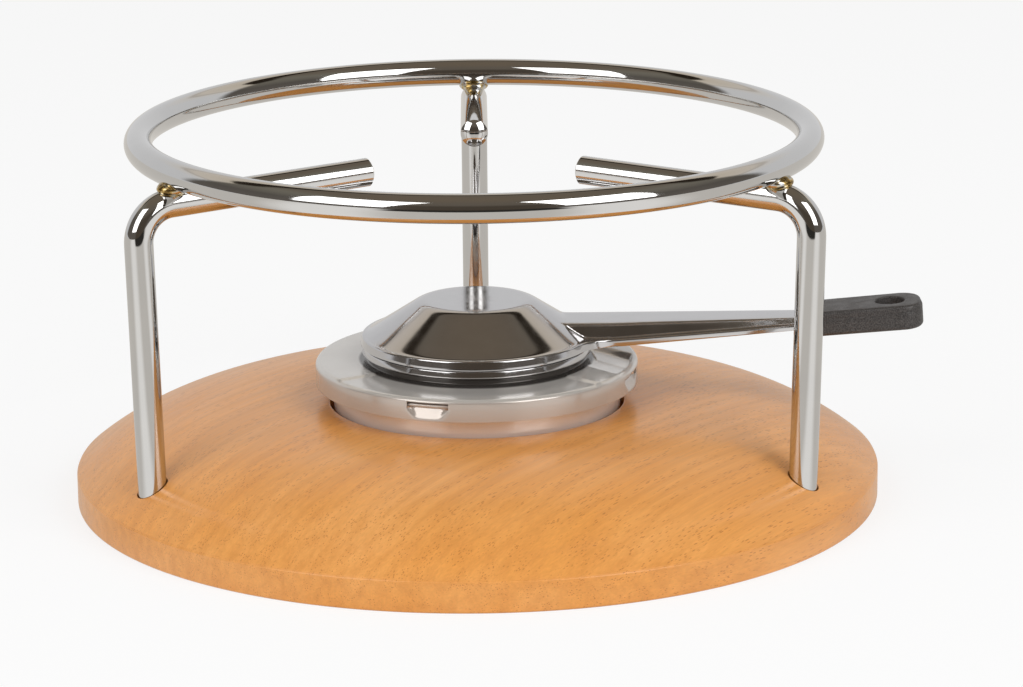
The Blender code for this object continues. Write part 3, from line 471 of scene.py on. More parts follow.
# A round wire along the path that the tree is given, as thick at each point as wire_share says.
wire_inputs = {"Wire Radius": "Float", "Sides": "Int", "Finish": "Material"}
wire_tree, given = new_shape_tree("swept_wire", wire_inputs)
share = add_node(wire_tree, "GeometryNodeInputNamedAttribute", {"Name": "wire_share"}, data_type="FLOAT")
line = add_node(wire_tree, "GeometryNodeMeshToCurve", {"Mesh": given["Geometry"]})
sized = add_node(wire_tree, "GeometryNodeSetCurveRadius", {"Curve": line, "Radius": share})
section_size = {"Resolution": given["Sides"], "Radius": given["Wire Radius"]}
section = add_node(wire_tree, "GeometryNodeCurvePrimitiveCircle", section_size)
sweep = {"Curve": sized, "Profile Curve": section, "Scale": share, "Fill Caps": True}
swept = add_node(wire_tree, "GeometryNodeCurveToMesh", sweep)
end_shape_tree(wire_tree, swept, given["Finish"])


def swept_wire(name, points, shares, closed=False):
    """A wire swept along a path of points, with its thickness share at each."""
    count = len(points)
    edges = [(i, i + 1) for i in range(count - 1)] + ([(count - 1, 0)] if closed else [])
    mesh = bpy.data.meshes.new(name)
    mesh.from_pydata(points, edges, [])
    mesh.attributes.new("wire_share", "FLOAT", "POINT").data.foreach_set("value", shares)
    wire = put_in_scene(name, mesh)
    bake_nodes(wire, wire_tree, {"Wire Radius": WIRE_RADIUS, "Sides": WIRE_SIDES, "Finish": chrome})
    shape = bmesh.new()
    shape.from_mesh(wire.data)
    bmesh.ops.remove_doubles(shape, verts=shape.verts, dist=MM / 1000)
    bmesh.ops.recalc_face_normals(shape, faces=shape.faces)
    shape.to_mesh(wire.data)
    shape.free()
    smooth_by_angle(wire, 30.0)
    return wire


crossing = RING_HEIGHT - WIRE_RADIUS * 2 - EDGE_GAP
ARM_HEIGHT = (crossing - (LEG_FOOT_RADIUS - RING_RADIUS) * math.tan(LEG_LEAN)) * math.cos(LEG_LEAN)
ARM_LENGTH = (LEG_FOOT_RADIUS + ARM_HEIGHT * math.sin(LEG_LEAN) - ARM_END_RADIUS) / math.cos(LEG_LEAN)
path = [(0.0, LEG_END), (0.0, LEG_END + FOOT_TAPER), (0.0, ARM_HEIGHT / 2)]
path += arc(-BEND_RADIUS, ARM_HEIGHT - BEND_RADIUS, BEND_RADIUS, 0.0, 90.0, BEND_STEPS)
shares = [FOOT_END_SHARE] + [1.0] * (len(path) - 1)
dome_radius = (WIRE_RADIUS ** 2 + DOME_SAG ** 2) / (2 * DOME_SAG)
for i in range(DOME_STEPS + 1):
    spread = 1.0 - (i / DOME_STEPS) ** 1.6
    back = DOME_SAG - (dome_radius - math.sqrt(dome_radius ** 2 - (WIRE_RADIUS * spread) ** 2))
    path.append((-ARM_LENGTH + DOME_SAG - back, ARM_HEIGHT))
    shares.append(max(spread, DOME_TIP_SHARE))
for label in LEG_AZIMUTHS:
    leg = swept_wire("bent_wire_" + label, [(x, 0.0, z) for x, z in path], shares)
    leg.data.transform(leg_frame(label))
    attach(leg, "stand")
    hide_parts("leg_" + label)


# Pot ring. The same wire rolled into a ring, butt-welded and chromed, and laid on the three arms.
# The pot stands on it.
RING_STEPS = 240
angles = [math.tau * i / RING_STEPS for i in range(RING_STEPS)]
points = [(RING_RADIUS * math.cos(a), RING_RADIUS * math.sin(a), RING_HEIGHT) for a in angles]
ring = swept_wire("wire_ring", points, [1.0] * RING_STEPS, closed=True)
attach(ring, "stand")
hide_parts("pot_ring")


# Braze beads. Brass run into the corners where the ring lies on the arms, one bead at each crossing,
# lumpy, waisted over the wires, and partly plated over with the stand.
BEAD_SIZE = (5.0 * MM, 4.9 * MM, 2.4 * MM)
BEAD_LUMPS = 0.06
BEAD_WAIST = 0.30
BEAD_DETAIL = 5

# Brass with chrome over part of it, in patches of some 2 mm: gold where the plate is thin, dark and
# rough in the folds, bright where it is full.
brass, tree, shader, place = new_material("braze_partly_plated")
patches = add_node(tree, "ShaderNodeTexNoise", {"Vector": place, "Scale": 420.0, "Detail": 3.0})
tone = add_node(tree, "ShaderNodeValToRGB", [patches], stops=[
    (0.36, "#7A6238"), (0.46, "#C4A566"), (0.53, "#D2C29C"), (0.62, "#C9CBCE"),
])
fill_shader(tree, shader, tone, [patches, 0.3, 0.7, 0.34, 0.12], (patches, 0.35, 0.15 * MM), metal)

for label, azimuth in LEG_AZIMUTHS.items():
    shape = bmesh.new()
    bmesh.ops.create_icosphere(shape, subdivisions=BEAD_DETAIL, radius=1.0)
    for vert in shape.verts:
        x, y, z = vert.co
        swell = 1.0 + BEAD_LUMPS * math.sin(4.0 * x + 2.0 * azimuth) * math.sin(3.0 * y + azimuth)
        waist = 1.0 - BEAD_WAIST * math.exp(-(x * x + y * y) * 3.0)
        vert.co = (x * swell * BEAD_SIZE[0], y * swell * BEAD_SIZE[1], z * swell * waist * BEAD_SIZE[2])
    bead = as_object("braze_bead_" + label, shape)
    crossing_place = Matrix.Translation((RING_RADIUS, 0.0, RING_HEIGHT - WIRE_RADIUS - EDGE_GAP / 2))
    bead.data.transform(Matrix.Rotation(azimuth, 4, "Z") @ crossing_place)
    finish_mesh(bead, brass, 60.0)
    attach(bead, "stand")
    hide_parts("bead_" + label)


# Screws and washers. One M5 socket screw and one washer under each leg, both zinc-plated steel, up
# from the counterbores into the end of the wire.
SCREW_RADIUS = 2.5 * MM
SCREW_HEAD_RADIUS = 4.6 * MM
SCREW_HEAD_LOW = 0.9 * MM
SCREW_HEAD_HIGH = 3.9 * MM
SCREW_TIP = 21.0 * MM
SCREW_STEPS = 32
TIP_CHAMFER = 0.5 * MM
FIRST_TURN = 1.0 * MM
THREAD_PITCH = 0.8 * MM
THREAD_DEPTH = 0.4 * MM
THREAD_TURNS = 15
SOCKET_CORNER = 1.73 * MM
SOCKET_DEPTH = 1.8 * MM
SOCKET_SIDES = 6
WASHER_RADIUS = 6.0 * MM
WASHER_LOW = 4.2 * MM
WASHER_HIGH = 5.2 * MM
WASHER_STEPS = 48
ROUND_EDGE = 0.3 * MM

# Blue-passivated zinc: grey with a faint blue and yellow bloom some 3 mm across, and a grain of half
# a millimetre.
zinc, tree, shader, place = new_material("blue_zinc_plate")
bloom = add_node(tree, "ShaderNodeTexNoise", {"Vector": place, "Scale": 300.0, "Detail": 3.0})
grit = add_node(tree, "ShaderNodeTexNoise", {"Vector": place, "Scale": 2200.0, "Detail": 2.0})
tint = add_node(tree, "ShaderNodeMix", {0: bloom, 6: colour("#A9ADB2"), 7: colour("#BDB9A8")}, **colours)
fill_shader(tree, shader, tint, [grit, 0.3, 0.7, 0.28, 0.45], (grit, 0.2, 0.05 * MM), metal)

# The piece that the tree is given, set under each of the evenly spaced feet and leaning with them.
feet_tree, given = new_shape_tree("one_under_each_foot", {
    "Feet": "Int", "Foot Radius": "Float", "First Azimuth": "Float", "Lean": "Float", "Finish": "Material",
})
circle = {"Vertices": given["Feet"], "Radius": given["Foot Radius"]}
feet = add_node(feet_tree, "GeometryNodeMeshCircle", circle, fill_type="NONE")
number = add_node(feet_tree, "GeometryNodeInputIndex")
step = add_node(feet_tree, "ShaderNodeMath", [math.tau, given["Feet"]], operation="DIVIDE")
round_turn = add_node(feet_tree, "ShaderNodeMath", [number, step], operation="MULTIPLY")
aim = add_node(feet_tree, "ShaderNodeCombineXYZ", {"Y": given["Lean"], "Z": round_turn})
copies = {"Points": feet, "Instance": given["Geometry"], "Rotation": aim}
placed = add_node(feet_tree, "GeometryNodeInstanceOnPoints", copies)
start = add_node(feet_tree, "ShaderNodeCombineXYZ", {"Z": given["First Azimuth"]})
turned_on = add_node(feet_tree, "GeometryNodeTransform", {"Geometry": placed, "Rotation": start})
end_shape_tree(feet_tree, turned_on, given["Finish"])
foot_values = {
    "Feet": len(LEG_AZIMUTHS), "Foot Radius": LEG_FOOT_RADIUS, "First Azimuth": LEG_AZIMUTHS["rear"],
    "Lean": LEG_LEAN, "Finish": zinc,
}

profile = [(0.0, SCREW_TIP), (SCREW_RADIUS - TIP_CHAMFER, SCREW_TIP)]
profile.append((SCREW_RADIUS, SCREW_TIP - TIP_CHAMFER))
for i in range(THREAD_TURNS):
    height = SCREW_TIP - FIRST_TURN - THREAD_PITCH * i
    profile += [(SCREW_RADIUS, height), (SCREW_RADIUS - THREAD_DEPTH, height - THREAD_DEPTH)]
profile += [(SCREW_RADIUS, SCREW_HEAD_HIGH + ROUND_EDGE), (SCREW_RADIUS, SCREW_HEAD_HIGH)]
profile += arc(SCREW_HEAD_RADIUS - ROUND_EDGE, SCREW_HEAD_HIGH - ROUND_EDGE, ROUND_EDGE, 90.0, 0.0, 3)
profile += arc(SCREW_HEAD_RADIUS - ROUND_EDGE, SCREW_HEAD_LOW + ROUND_EDGE, ROUND_EDGE, 0.0, -90.0, 3)
profile.append((0.0, SCREW_HEAD_LOW))
screws = turned("leg_screws", profile, SCREW_STEPS)
socket_end = SCREW_HEAD_LOW + SOCKET_DEPTH
socket = [(0.0, socket_end), (SOCKET_CORNER, socket_end), (SOCKET_CORNER, -MM), (0.0, -MM)]
cut(screws, turned("socket", socket, SOCKET_SIDES))
bake_nodes(screws, feet_tree, foot_values)
smooth_by_angle(screws, 30.0)
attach(screws, "stand")
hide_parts("screw_left", "screw_right", "screw_rear")

profile = arc(WASHER_RADIUS - ROUND_EDGE, WASHER_HIGH - ROUND_EDGE, ROUND_EDGE, 90.0, 0.0, 3)
profile += arc(WASHER_RADIUS - ROUND_EDGE, WASHER_LOW + ROUND_EDGE, ROUND_EDGE, 0.0, -90.0, 3)
profile += [(SCREW_HOLE_RADIUS, WASHER_LOW), (SCREW_HOLE_RADIUS, WASHER_HIGH)]
washers = turned("leg_washers", profile, WASHER_STEPS, closed=True)
bake_nodes(washers, feet_tree, foot_values)
smooth_by_angle(washers, 30.0)
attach(washers, "stand")
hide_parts("washer_left", "washer_right", "washer_rear")


# Burner pan. A stainless dish, deep-drawn from 0.7 mm sheet, that stands in the plate's recess. Its
# outward flange is hidden by the collar, which turns on it.
PAN_RADIUS = 46.5 * MM
PAN_SHEET = 0.7 * MM
PAN_CORNER = 3.0 * MM
PAN_FLOOR = RECESS_FLOOR + EDGE_GAP
PAN_TOP = 41.3 * MM
PAN_FLANGE_RADIUS = 51.1 * MM
PAN_BEAD = 0.75 * MM
PAN_STEPS = 192
INNER_BEND = 0.8 * MM
# Where the painted shade round the burner's mouth begins, out from the axis and up.
MOUTH_RADIUS = 37.5 * MM
MOUTH_HEIGHT = 43.0 * MM
SKIRT_HEIGHT = 42.3 * MM
WALL_RADIUS = 48.0 * MM

# Bright rolled stainless sheet, a soft mirror, a little warmer than chrome. The rolling's fine lines
# scatter much of the light, so it is part matt here under a thin clear gloss.
sheet_steel, tree, shader, place = new_material("bright_rolled_stainless")
rolled = add_node(tree, "ShaderNodeMapping", {"Vector": place, "Scale": (60.0, 2600.0, 400.0)})
lines = add_node(tree, "ShaderNodeTexNoise", {"Vector": rolled, "Scale": 1.0, "Detail": 3.0})
cloud = add_node(tree, "ShaderNodeTexNoise", {"Vector": place, "Scale": 90.0, "Detail": 3.0})
tint = add_node(tree, "ShaderNodeMix", {0: cloud, 6: colour("#D3CEC8"), 7: colour("#DCD8D2")}, **colours)
level_place = add_node(tree, "ShaderNodeVectorMath", [place, (1.0, 1.0, 0.0)], operation="MULTIPLY")
out_from_axis = add_node(tree, "ShaderNodeVectorMath", [level_place], operation="LENGTH")
up = add_node(tree, "ShaderNodeSeparateXYZ", [place]).outputs["Z"]
# Painted reflection: the skirt is darkened for the shaded wood it mirrors, the pan's wall lightened for lit
# wood.
low_band = [up, SKIRT_HEIGHT, SKIRT_HEIGHT + 1.0 * MM, 1.0, 0.0]
low_down = add_node(tree, "ShaderNodeMapRange", low_band, **smoothly)
wall_band = [out_from_axis, WALL_RADIUS, WALL_RADIUS + 3.0 * MM]
on_skirt = add_node(tree, "ShaderNodeMapRange", wall_band, **smoothly)
painted_skirt_wall_tones = {0: on_skirt, 6: colour("#F3EEE8"), 7: colour("#C4BBB3")}
painted_skirt_wall_shade = add_node(tree, "ShaderNodeMix", painted_skirt_wall_tones, **colours)
tint_with_painted_tones = add_node(tree, "ShaderNodeMix", {0: low_down, 6: tint, 7: painted_skirt_wall_shade}, **colours)
# Painted shade: the steel round the burner's mouth is darkened to a band, in place of the lid's shadow and
# dark reflection there.
mouth_band = [out_from_axis, MOUTH_RADIUS, MOUTH_RADIUS + 1.1 * MM, 1.0, 0.0]
near_mouth = add_node(tree, "ShaderNodeMapRange", mouth_band, **smoothly)
height_band = [up, MOUTH_HEIGHT, MOUTH_HEIGHT + 0.8 * MM, 0.0, 0.93]
painted_shade_height = add_node(tree, "ShaderNodeMapRange", height_band, **smoothly)
painted_mouth_shade = add_node(tree, "ShaderNodeMath", [near_mouth, painted_shade_height], operation="MULTIPLY")
steel_colour = add_node(tree, "ShaderNodeMix", {0: painted_mouth_shade, 6: tint_with_painted_tones, 7: colour("#2B241F")}, **colours)
gloss = {"Metallic": 0.42, "Coat Weight": 0.2, "Coat Roughness": 0.1}
fill_shader(tree, shader, steel_colour, [lines, 0.3, 0.7, 0.16, 0.21], (cloud, 0.3, 0.05 * MM), gloss)


def dish_profile(radius, sheet, corner, floor, top, flange_radius, bead):
    """Section of a drawn dish, its corners rounded as the sheet bends, with a beaded flange."""
    profile = [(0.0, floor + sheet)]
    profile += arc(radius - corner, floor + corner, corner - sheet, -90.0, 0.0, 10)
    profile += arc(radius - sheet + INNER_BEND, top - INNER_BEND, INNER_BEND, 180.0, 90.0, 6)
    profile += arc(flange_radius - bead, top - sheet / 2, bead, 90.0, -90.0, 10)
    outer = INNER_BEND - sheet * 0.6
    profile += arc(radius + outer, top - sheet - outer, outer, 90.0, 180.0, 4)
    return profile + arc(radius - corner, floor + corner, corner, 0.0, -90.0, 10) + [(0.0, floor)]


profile = dish_profile(PAN_RADIUS, PAN_SHEET, PAN_CORNER, PAN_FLOOR, PAN_TOP, PAN_FLANGE_RADIUS, PAN_BEAD)
pan = turned("drawn_pan", profile, PAN_STEPS)
finish_mesh(pan, sheet_steel, 35.0)
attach(pan, "burner")
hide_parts("burner_pan")


# Burner collar. A ring stamped from 0.8 mm stainless sheet: neck, flat top with a trough under the
# handle and two low sectors, and a skirt whose four lanced strips are pressed in under the pan's
# flange.
COLLAR_SHEET = 0.8 * MM
COLLAR_RADIUS = 52.2 * MM
COLLAR_TOP = 44.0 * MM
COLLAR_STEPS = 480
NECK_RADIUS = 35.3 * MM
NECK_INNER_RADIUS = 33.6 * MM
NECK_TOP = 45.9 * MM
NECK_LIP = 2.3 * MM
NECK_ROUND = 0.55 * MM
NECK_FILLET = 0.6 * MM
NECK_FOOT = 3.0 * MM
FLAT_STEPS = 28
SKIRT_ROUND = 1.7 * MM
SKIRT_STEPS = 8
SKIRT_BOTTOM = 36.4 * MM
SKIRT_HEM = 0.3 * MM
TAB_TOP = 40.3 * MM
TAB_BOTTOM = 37.0 * MM
TAB_PRESS = 1.4 * MM
TAB_STEPS = 6
TAB_FOOT_SHARE = 0.62
TAB_FADE = (math.radians(1.9), math.radians(0.25))
SLOT_COUNT = 4
SLOT_HALF_ANGLE = math.radians(7.5)
SLOT_FIRST_AZIMUTH = math.radians(-107.5)
TROUGH_WAY = (0.755, 0.656)
TROUGH_NEAR = (18.0 * MM, 29.5 * MM)
TROUGH_FAR = (39.0 * MM, 36.6 * MM)
TROUGH_DEPTH = 1.6 * MM
TROUGH_INSIDE = (37.6 * MM, 39.0 * MM)
TROUGH_OUTSIDE = (50.4 * MM, 49.6 * MM)
SECTOR_AZIMUTH = math.radians(-8.0)
CREASE_HALF_ANGLES = (math.radians(32.0), math.radians(139.0))
CREASE_RAMP = math.radians(3.0)
CREASE_DEPTH = 0.5 * MM


def angle_between(a, b):
    return abs((a - b + math.pi) % math.tau - math.pi)


def straight(value, start, end):
    """Zero at the start, one at the end, straight between and level outside."""
    return min(max((value - start) / (end - start), 0.0), 1.0)


def ease(value, start, end):
    """Zero before the start, one past the end, and a smooth step between."""
    share = straight(value, start, end)
    return share * share * (3 - 2 * share)


def slot_distance(azimuth):
    """Angle from an azimuth to the centre of the nearest slot."""
    slots = [SLOT_FIRST_AZIMUTH + math.tau * i / SLOT_COUNT for i in range(SLOT_COUNT)]
    return min(angle_between(azimuth, slot) for slot in slots)


def pressed(radius, azimuth):
    """Depth to which the collar's top is pressed at a place."""
    off = angle_between(azimuth, SECTOR_AZIMUTH)
    near, far = CREASE_HALF_ANGLES
    low = ease(off, near, near + CREASE_RAMP) * (1 - ease(off, far, far + CREASE_RAMP))
    low *= ease(radius, NECK_RADIUS + NECK_FILLET, NECK_RADIUS + NECK_FOOT)
    away = radius * (TROUGH_WAY[0] * math.cos(azimuth) + TROUGH_WAY[1] * math.sin(azimuth))
    sides = min(straight(away, *TROUGH_NEAR), straight(away, *TROUGH_FAR))
    ends = min(straight(radius, *TROUGH_INSIDE), straight(radius, *TROUGH_OUTSIDE))
    return CREASE_DEPTH * low + TROUGH_DEPTH * min(sides, ends)


def collar_section(azimuth):
    """Outer face at an azimuth, from the neck's inner lip over the top and down the skirt."""
    points = [(NECK_INNER_RADIUS, NECK_TOP - NECK_LIP), (NECK_INNER_RADIUS, NECK_TOP - NECK_LIP / 2)]
    points += arc(NECK_INNER_RADIUS + NECK_ROUND, NECK_TOP - NECK_ROUND, NECK_ROUND, 180.0, 90.0, 4)
    points += arc(NECK_RADIUS - NECK_ROUND, NECK_TOP - NECK_ROUND, NECK_ROUND, 90.0, 0.0, 4)
    points += arc(NECK_RADIUS + NECK_FILLET, COLLAR_TOP + NECK_FILLET, NECK_FILLET, 180.0, 270.0, 4)
    flat_start = NECK_RADIUS + NECK_FILLET
    flat_end = COLLAR_RADIUS - SKIRT_ROUND
    for i in range(1, FLAT_STEPS + 1):
        radius = flat_start + (flat_end - flat_start) * i / FLAT_STEPS
        points.append((radius, COLLAR_TOP - pressed(radius, azimuth)))
    edge = pressed(flat_end, azimuth)
    for i in range(1, SKIRT_STEPS + 1):
        angle = math.radians(90.0 - 90.0 * i / SKIRT_STEPS)
        drop = edge * math.sin(angle)
        height = COLLAR_TOP - SKIRT_ROUND + SKIRT_ROUND * math.sin(angle) - drop
        points.append((flat_end + SKIRT_ROUND * math.cos(angle), height))
    off = slot_distance(azimuth)
    for i in range(TAB_STEPS + 1):
        share = 1 - i / TAB_STEPS
        half = SLOT_HALF_ANGLE * (TAB_FOOT_SHARE + (1 - TAB_FOOT_SHARE) * share)
        inside = 1 - ease(off, half - TAB_FADE[0], half + TAB_FADE[1])
        radius = COLLAR_RADIUS - TAB_PRESS * share * inside
        points.append((radius, TAB_BOTTOM + (TAB_TOP - TAB_BOTTOM) * share))
    return points + [(COLLAR_RADIUS, SKIRT_BOTTOM + SKIRT_HEM), (COLLAR_RADIUS, SKIRT_BOTTOM)]


azimuths = [SLOT_FIRST_AZIMUTH + math.tau * i / COLLAR_STEPS for i in range(COLLAR_STEPS)]
sections = [collar_section(azimuth) for azimuth in azimuths]
slot_row = len(sections[0]) - (TAB_STEPS + 4)
shape = bmesh.new()
columns = []
for azimuth, section in zip(azimuths, sections):
    columns.append([shape.verts.new((r * math.cos(azimuth), r * math.sin(azimuth), z)) for r, z in section])
for i, azimuth in enumerate(azimuths):
    here, there = columns[i], columns[(i + 1) % COLLAR_STEPS]
    open_slot = slot_distance(azimuth + math.pi / COLLAR_STEPS) < SLOT_HALF_ANGLE
    for j in range(len(here) - 1):
        if j == slot_row and open_slot:
            continue
        shape.faces.new((here[j], here[j + 1], there[j + 1], there[j]))
collar = as_object("stamped_collar", shape)


def thicken(obj, thickness, even, edge, segments, degrees):
    """Give a stamping's outer face its sheet's thickness inwards, and break its sharp edges."""
    sheet = obj.modifiers.new("sheet", "SOLIDIFY")
    sheet.thickness = thickness
    sheet.offset = -1.0
    sheet.use_even_offset = even
    deburr = obj.modifiers.new("deburr", "BEVEL")
    deburr.width = edge
    deburr.segments = segments
    deburr.limit_method = "ANGLE"
    deburr.angle_limit = math.radians(degrees)
    apply_modifiers(obj)


thicken(collar, COLLAR_SHEET, True, 0.15 * MM, 2, 70.0)
finish_mesh(collar, sheet_steel, 38.0)
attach(collar, "collar")
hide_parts("burner_collar")


# Fuel cup. A loose cup for the burning paste, drawn from thin stainless sheet, that stands on the
# pan's floor inside the collar's neck.
CUP_RADIUS = 31.5 * MM
CUP_SHEET = 0.6 * MM
CUP_CORNER = 3.5 * MM
CUP_FLOOR = 20.3 * MM
CUP_TOP = 45.1 * MM
CUP_LIP_RADIUS = 32.7 * MM
CUP_BEAD = 0.3 * MM
CUP_STEPS = 128
profile = dish_profile(CUP_RADIUS, CUP_SHEET, CUP_CORNER, CUP_FLOOR, CUP_TOP, CUP_LIP_RADIUS, CUP_BEAD)
cup = turned("paste_cup", profile, CUP_STEPS)
finish_mesh(cup, sheet_steel, 35.0)
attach(cup, "cup")
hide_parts("fuel_cup")


# Snuffer ring. A ring rolled from stainless strip and pressed into the cap's brim. Its edge is rolled
# over twice, one roll above the other, and the lower one seats on the collar's neck.
SEAT_RADIUS = 37.1 * MM
SEAT_INNER = 34.3 * MM
SEAT_BOTTOM = 46.2 * MM
SEAT_TOP = 49.0 * MM
SEAT_COLLAR = (35.6 * MM, 36.2 * MM)
SEAT_COLLAR_TOP = 51.4 * MM
SEAT_STEPS = 192
ROLL_RADIUS = 0.55 * MM
ROLL_INSET = 0.37 * MM
ROLL_DROP = 0.3 * MM

# Buffed stainless: nearly a mirror, neutral, with the buffing wheel's faint swirls in its gloss.
mirror_steel, tree, shader, place = new_material("polished_stainless")
swirls = {"Vector": place, "Scale": 130.0, "Detail": 5.0, "Roughness": 0.65}
swirl = add_node(tree, "ShaderNodeTexNoise", swirls)
tint = add_node(tree, "ShaderNodeMix", {0: swirl, 6: colour("#C2C1C2"), 7: colour("#CFCECF")}, **colours)
fill_shader(tree, shader, tint, [swirl, 0.35, 0.7, 0.07, 0.14], (swirl, 0.15, 0.03 * MM), metal)

collar_inner, collar_outer = SEAT_COLLAR
roll_centre = (SEAT_RADIUS - ROLL_INSET - ROLL_RADIUS, SEAT_TOP - ROLL_DROP - ROLL_RADIUS)
profile = [(collar_outer, SEAT_COLLAR_TOP), (collar_outer, SEAT_TOP - ROLL_DROP)]
profile += arc(*roll_centre, ROLL_RADIUS, 80.0, 10.0, 8)
profile += arc(SEAT_RADIUS - ROLL_RADIUS, SEAT_BOTTOM + ROLL_RADIUS, ROLL_RADIUS, 10.0, -90.0, 10)
profile += [(SEAT_INNER, SEAT_BOTTOM), (SEAT_INNER, SEAT_TOP), (collar_inner, SEAT_TOP)]
profile.append((collar_inner, SEAT_COLLAR_TOP))
seat = turned("rolled_ring", profile, SEAT_STEPS, closed=True)
finish_mesh(seat, mirror_steel, 35.0)
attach(seat, "snuffer")
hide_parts("snuffer_ring")


# Snuffer cap and handle blade. One stamping of 0.8 mm stainless: a truncated cone with a turned-down
# brim, which sweeps out into the handle blade, stiffened by a raised ridge that runs up the cone.
SNUFFER_SHEET = 0.8 * MM
CAP_RADIUS = 37.1 * MM
CAP_TOP_RADIUS = 18.4 * MM
CAP_BOTTOM = 49.3 * MM
CAP_TOP = 63.3 * MM
BRIM_TOP = 51.9 * MM
BRIM_WIDTH = 1.2 * MM
BRIM_BLEND = 0.7 * MM
BRIM_START = CAP_RADIUS - BRIM_WIDTH - 0.6 * MM
LIP_FLARE = 0.45 * MM
LIP_FLARE_BLADE = -0.10 * MM
TOP_BEND = 7.5 * MM
EDGE_ROUND = 0.6 * MM
SWEEP_RADIUS = 14.0 * MM
BLADE_END = 105.7 * MM
HALF_ROOT = 10.7 * MM
HALF_END = 7.6 * MM
BLADE_RISE = 3.5 * MM
LIP_ROOT = 2.4 * MM
LIP_END = 1.7 * MM
RIDGE_ROOT = 8.3 * MM
RIDGE_END = 5.6 * MM
RIDGE_HEIGHT_ROOT = 4.8 * MM
RIDGE_HEIGHT_END = 1.8 * MM
RIDGE_RUN = 1.1 * MM
RIDGE_SHOULDER = 0.25 * MM
RIDGE_ROUND = 0.35 * MM
RIDGE_MARGIN = 0.9 * MM
EDGE_MARGIN = 0.12 * MM
FILLET = 0.5 * MM
FAN_END = 22.0 * MM
SWEEP_END = 50.0 * MM
RAY_COUNT = 200

far = CAP_RADIUS + SWEEP_RADIUS
SWEEP_Y = HALF_ROOT + SWEEP_RADIUS
SWEEP_X = math.sqrt(far ** 2 - SWEEP_Y ** 2)
SWEEP_ANGLE = math.atan2(SWEEP_Y, SWEEP_X)
INSET_RADIUS = CAP_RADIUS - EDGE_ROUND
SWEEP_START = INSET_RADIUS * math.cos(SWEEP_ANGLE)
SLOPE = math.atan2(CAP_TOP - BRIM_TOP, CAP_RADIUS - BRIM_WIDTH - CAP_TOP_RADIUS)
BEND_START = CAP_TOP_RADIUS - TOP_BEND * math.tan(SLOPE / 2)
BEND_END = BEND_START + TOP_BEND * math.sin(SLOPE)


def mix(a, b, share):
    return a + (b - a) * share


def soft_max(a, b, width):
    return (a + b + math.sqrt((a - b) ** 2 + width ** 2)) / 2


def cap_height(radius):
    """Height of the cap's outer face at a distance from its axis."""
    if radius < BEND_START:
        return CAP_TOP
    if radius < BEND_END:
        return CAP_TOP - TOP_BEND + math.sqrt(TOP_BEND ** 2 - (radius - BEND_START) ** 2)
    cone = CAP_TOP - (radius - CAP_TOP_RADIUS) * math.tan(SLOPE)
    return soft_max(cone, BRIM_TOP, BRIM_BLEND)


def along_blade(x):
    return straight(x, SWEEP_X, BLADE_END)


def brim_level(x):
    return BRIM_TOP + BLADE_RISE * along_blade(x)


def snuffer_height(x, y):
    """Height of the stamping's outer face: the cap, the blade's flat, and the ridge over both."""
    share = along_blade(x)
    base = max(cap_height(math.hypot(x, y)), BRIM_TOP) + BLADE_RISE * share
    if x <= 0:
        return base
    height = mix(RIDGE_HEIGHT_ROOT, RIDGE_HEIGHT_END, share)
    beyond = abs(y) - mix(RIDGE_ROOT, RIDGE_END, share) + RIDGE_SHOULDER
    fall = (beyond + math.sqrt(beyond ** 2 + RIDGE_ROUND ** 2)) / 2
    ridge = brim_level(x) + height - fall * height / RIDGE_RUN
    return soft_max(base, ridge, FILLET)


def side_edge(x):
    """Half width of the stamping at x, inside its rounded edge, past the round cap."""
    if x < SWEEP_START:
        return x * math.tan(SWEEP_ANGLE)
    if x < SWEEP_X:
        return SWEEP_Y - math.sqrt((SWEEP_RADIUS + EDGE_ROUND) ** 2 - (SWEEP_X - x) ** 2)
    return mix(HALF_ROOT, HALF_END, along_blade(x)) - EDGE_ROUND


def guide_y(x, zone, share):
    """Distance of a guide line from the middle at x; near the axis the lines run out as a fan."""
    if x < FAN_END:
        return guide_y(FAN_END, zone, share) * x / FAN_END
    ridge = mix(RIDGE_ROOT, RIDGE_END, along_blade(x))
    edge = side_edge(x)
    inner = ridge - RIDGE_MARGIN
    outer = min(ridge + RIDGE_RUN + RIDGE_MARGIN, edge - EDGE_MARGIN)
    ends = ((0.0, inner), (inner, outer), (outer, edge))[zone]
    return mix(*ends, share)


def on_circle(radius, zone, share):
    """Where a guide line crosses a circle about the axis."""
    x = radius
    for _ in range(40):
        x = math.sqrt(max(radius ** 2 - guide_y(x, zone, share) ** 2, 0.0))
    return x, guide_y(x, zone, share)


def spaced(start, end, count):
    """Even steps from a start, left out, to an end."""
    return [mix(start, end, i / count) for i in range(1, count + 1)]


# Guide lines run out along the blade, finer on the ridge's sides: (zone, share) from the middle out,
# for the ridge's top, its side and the flat beside it. Rays go round the rest of the cap.
radii = [BEND_START * i / 5 for i in range(1, 6)]
radii += spaced(BEND_START, BEND_END, 14)
radii += spaced(BEND_END, BRIM_START, 36)
radii += spaced(BRIM_START, INSET_RADIUS, 8)
half_lines = [(0, i / 9) for i in range(10)] + [(1, i / 16) for i in range(1, 17)]
half_lines += [(2, i / 6) for i in range(1, 7)]
lines = [(-1, *line) for line in reversed(half_lines)] + [(1, *line) for line in half_lines[1:]]
shape = bmesh.new()
centre = shape.verts.new((0.0, 0.0, CAP_TOP))
columns = []
for sign, zone, share in lines:
    crossings = [on_circle(radius, zone, share) for radius in radii]
    start = crossings[-1][0]
    stations = [mix(start, SWEEP_END, (i / 30) ** 1.25) for i in range(1, 31)]
    stations += spaced(SWEEP_END, BLADE_END - EDGE_ROUND, 40)
    column = crossings + [(x, guide_y(x, zone, share)) for x in stations]
    columns.append([shape.verts.new((x, sign * y, snuffer_height(x, sign * y))) for x, y in column])
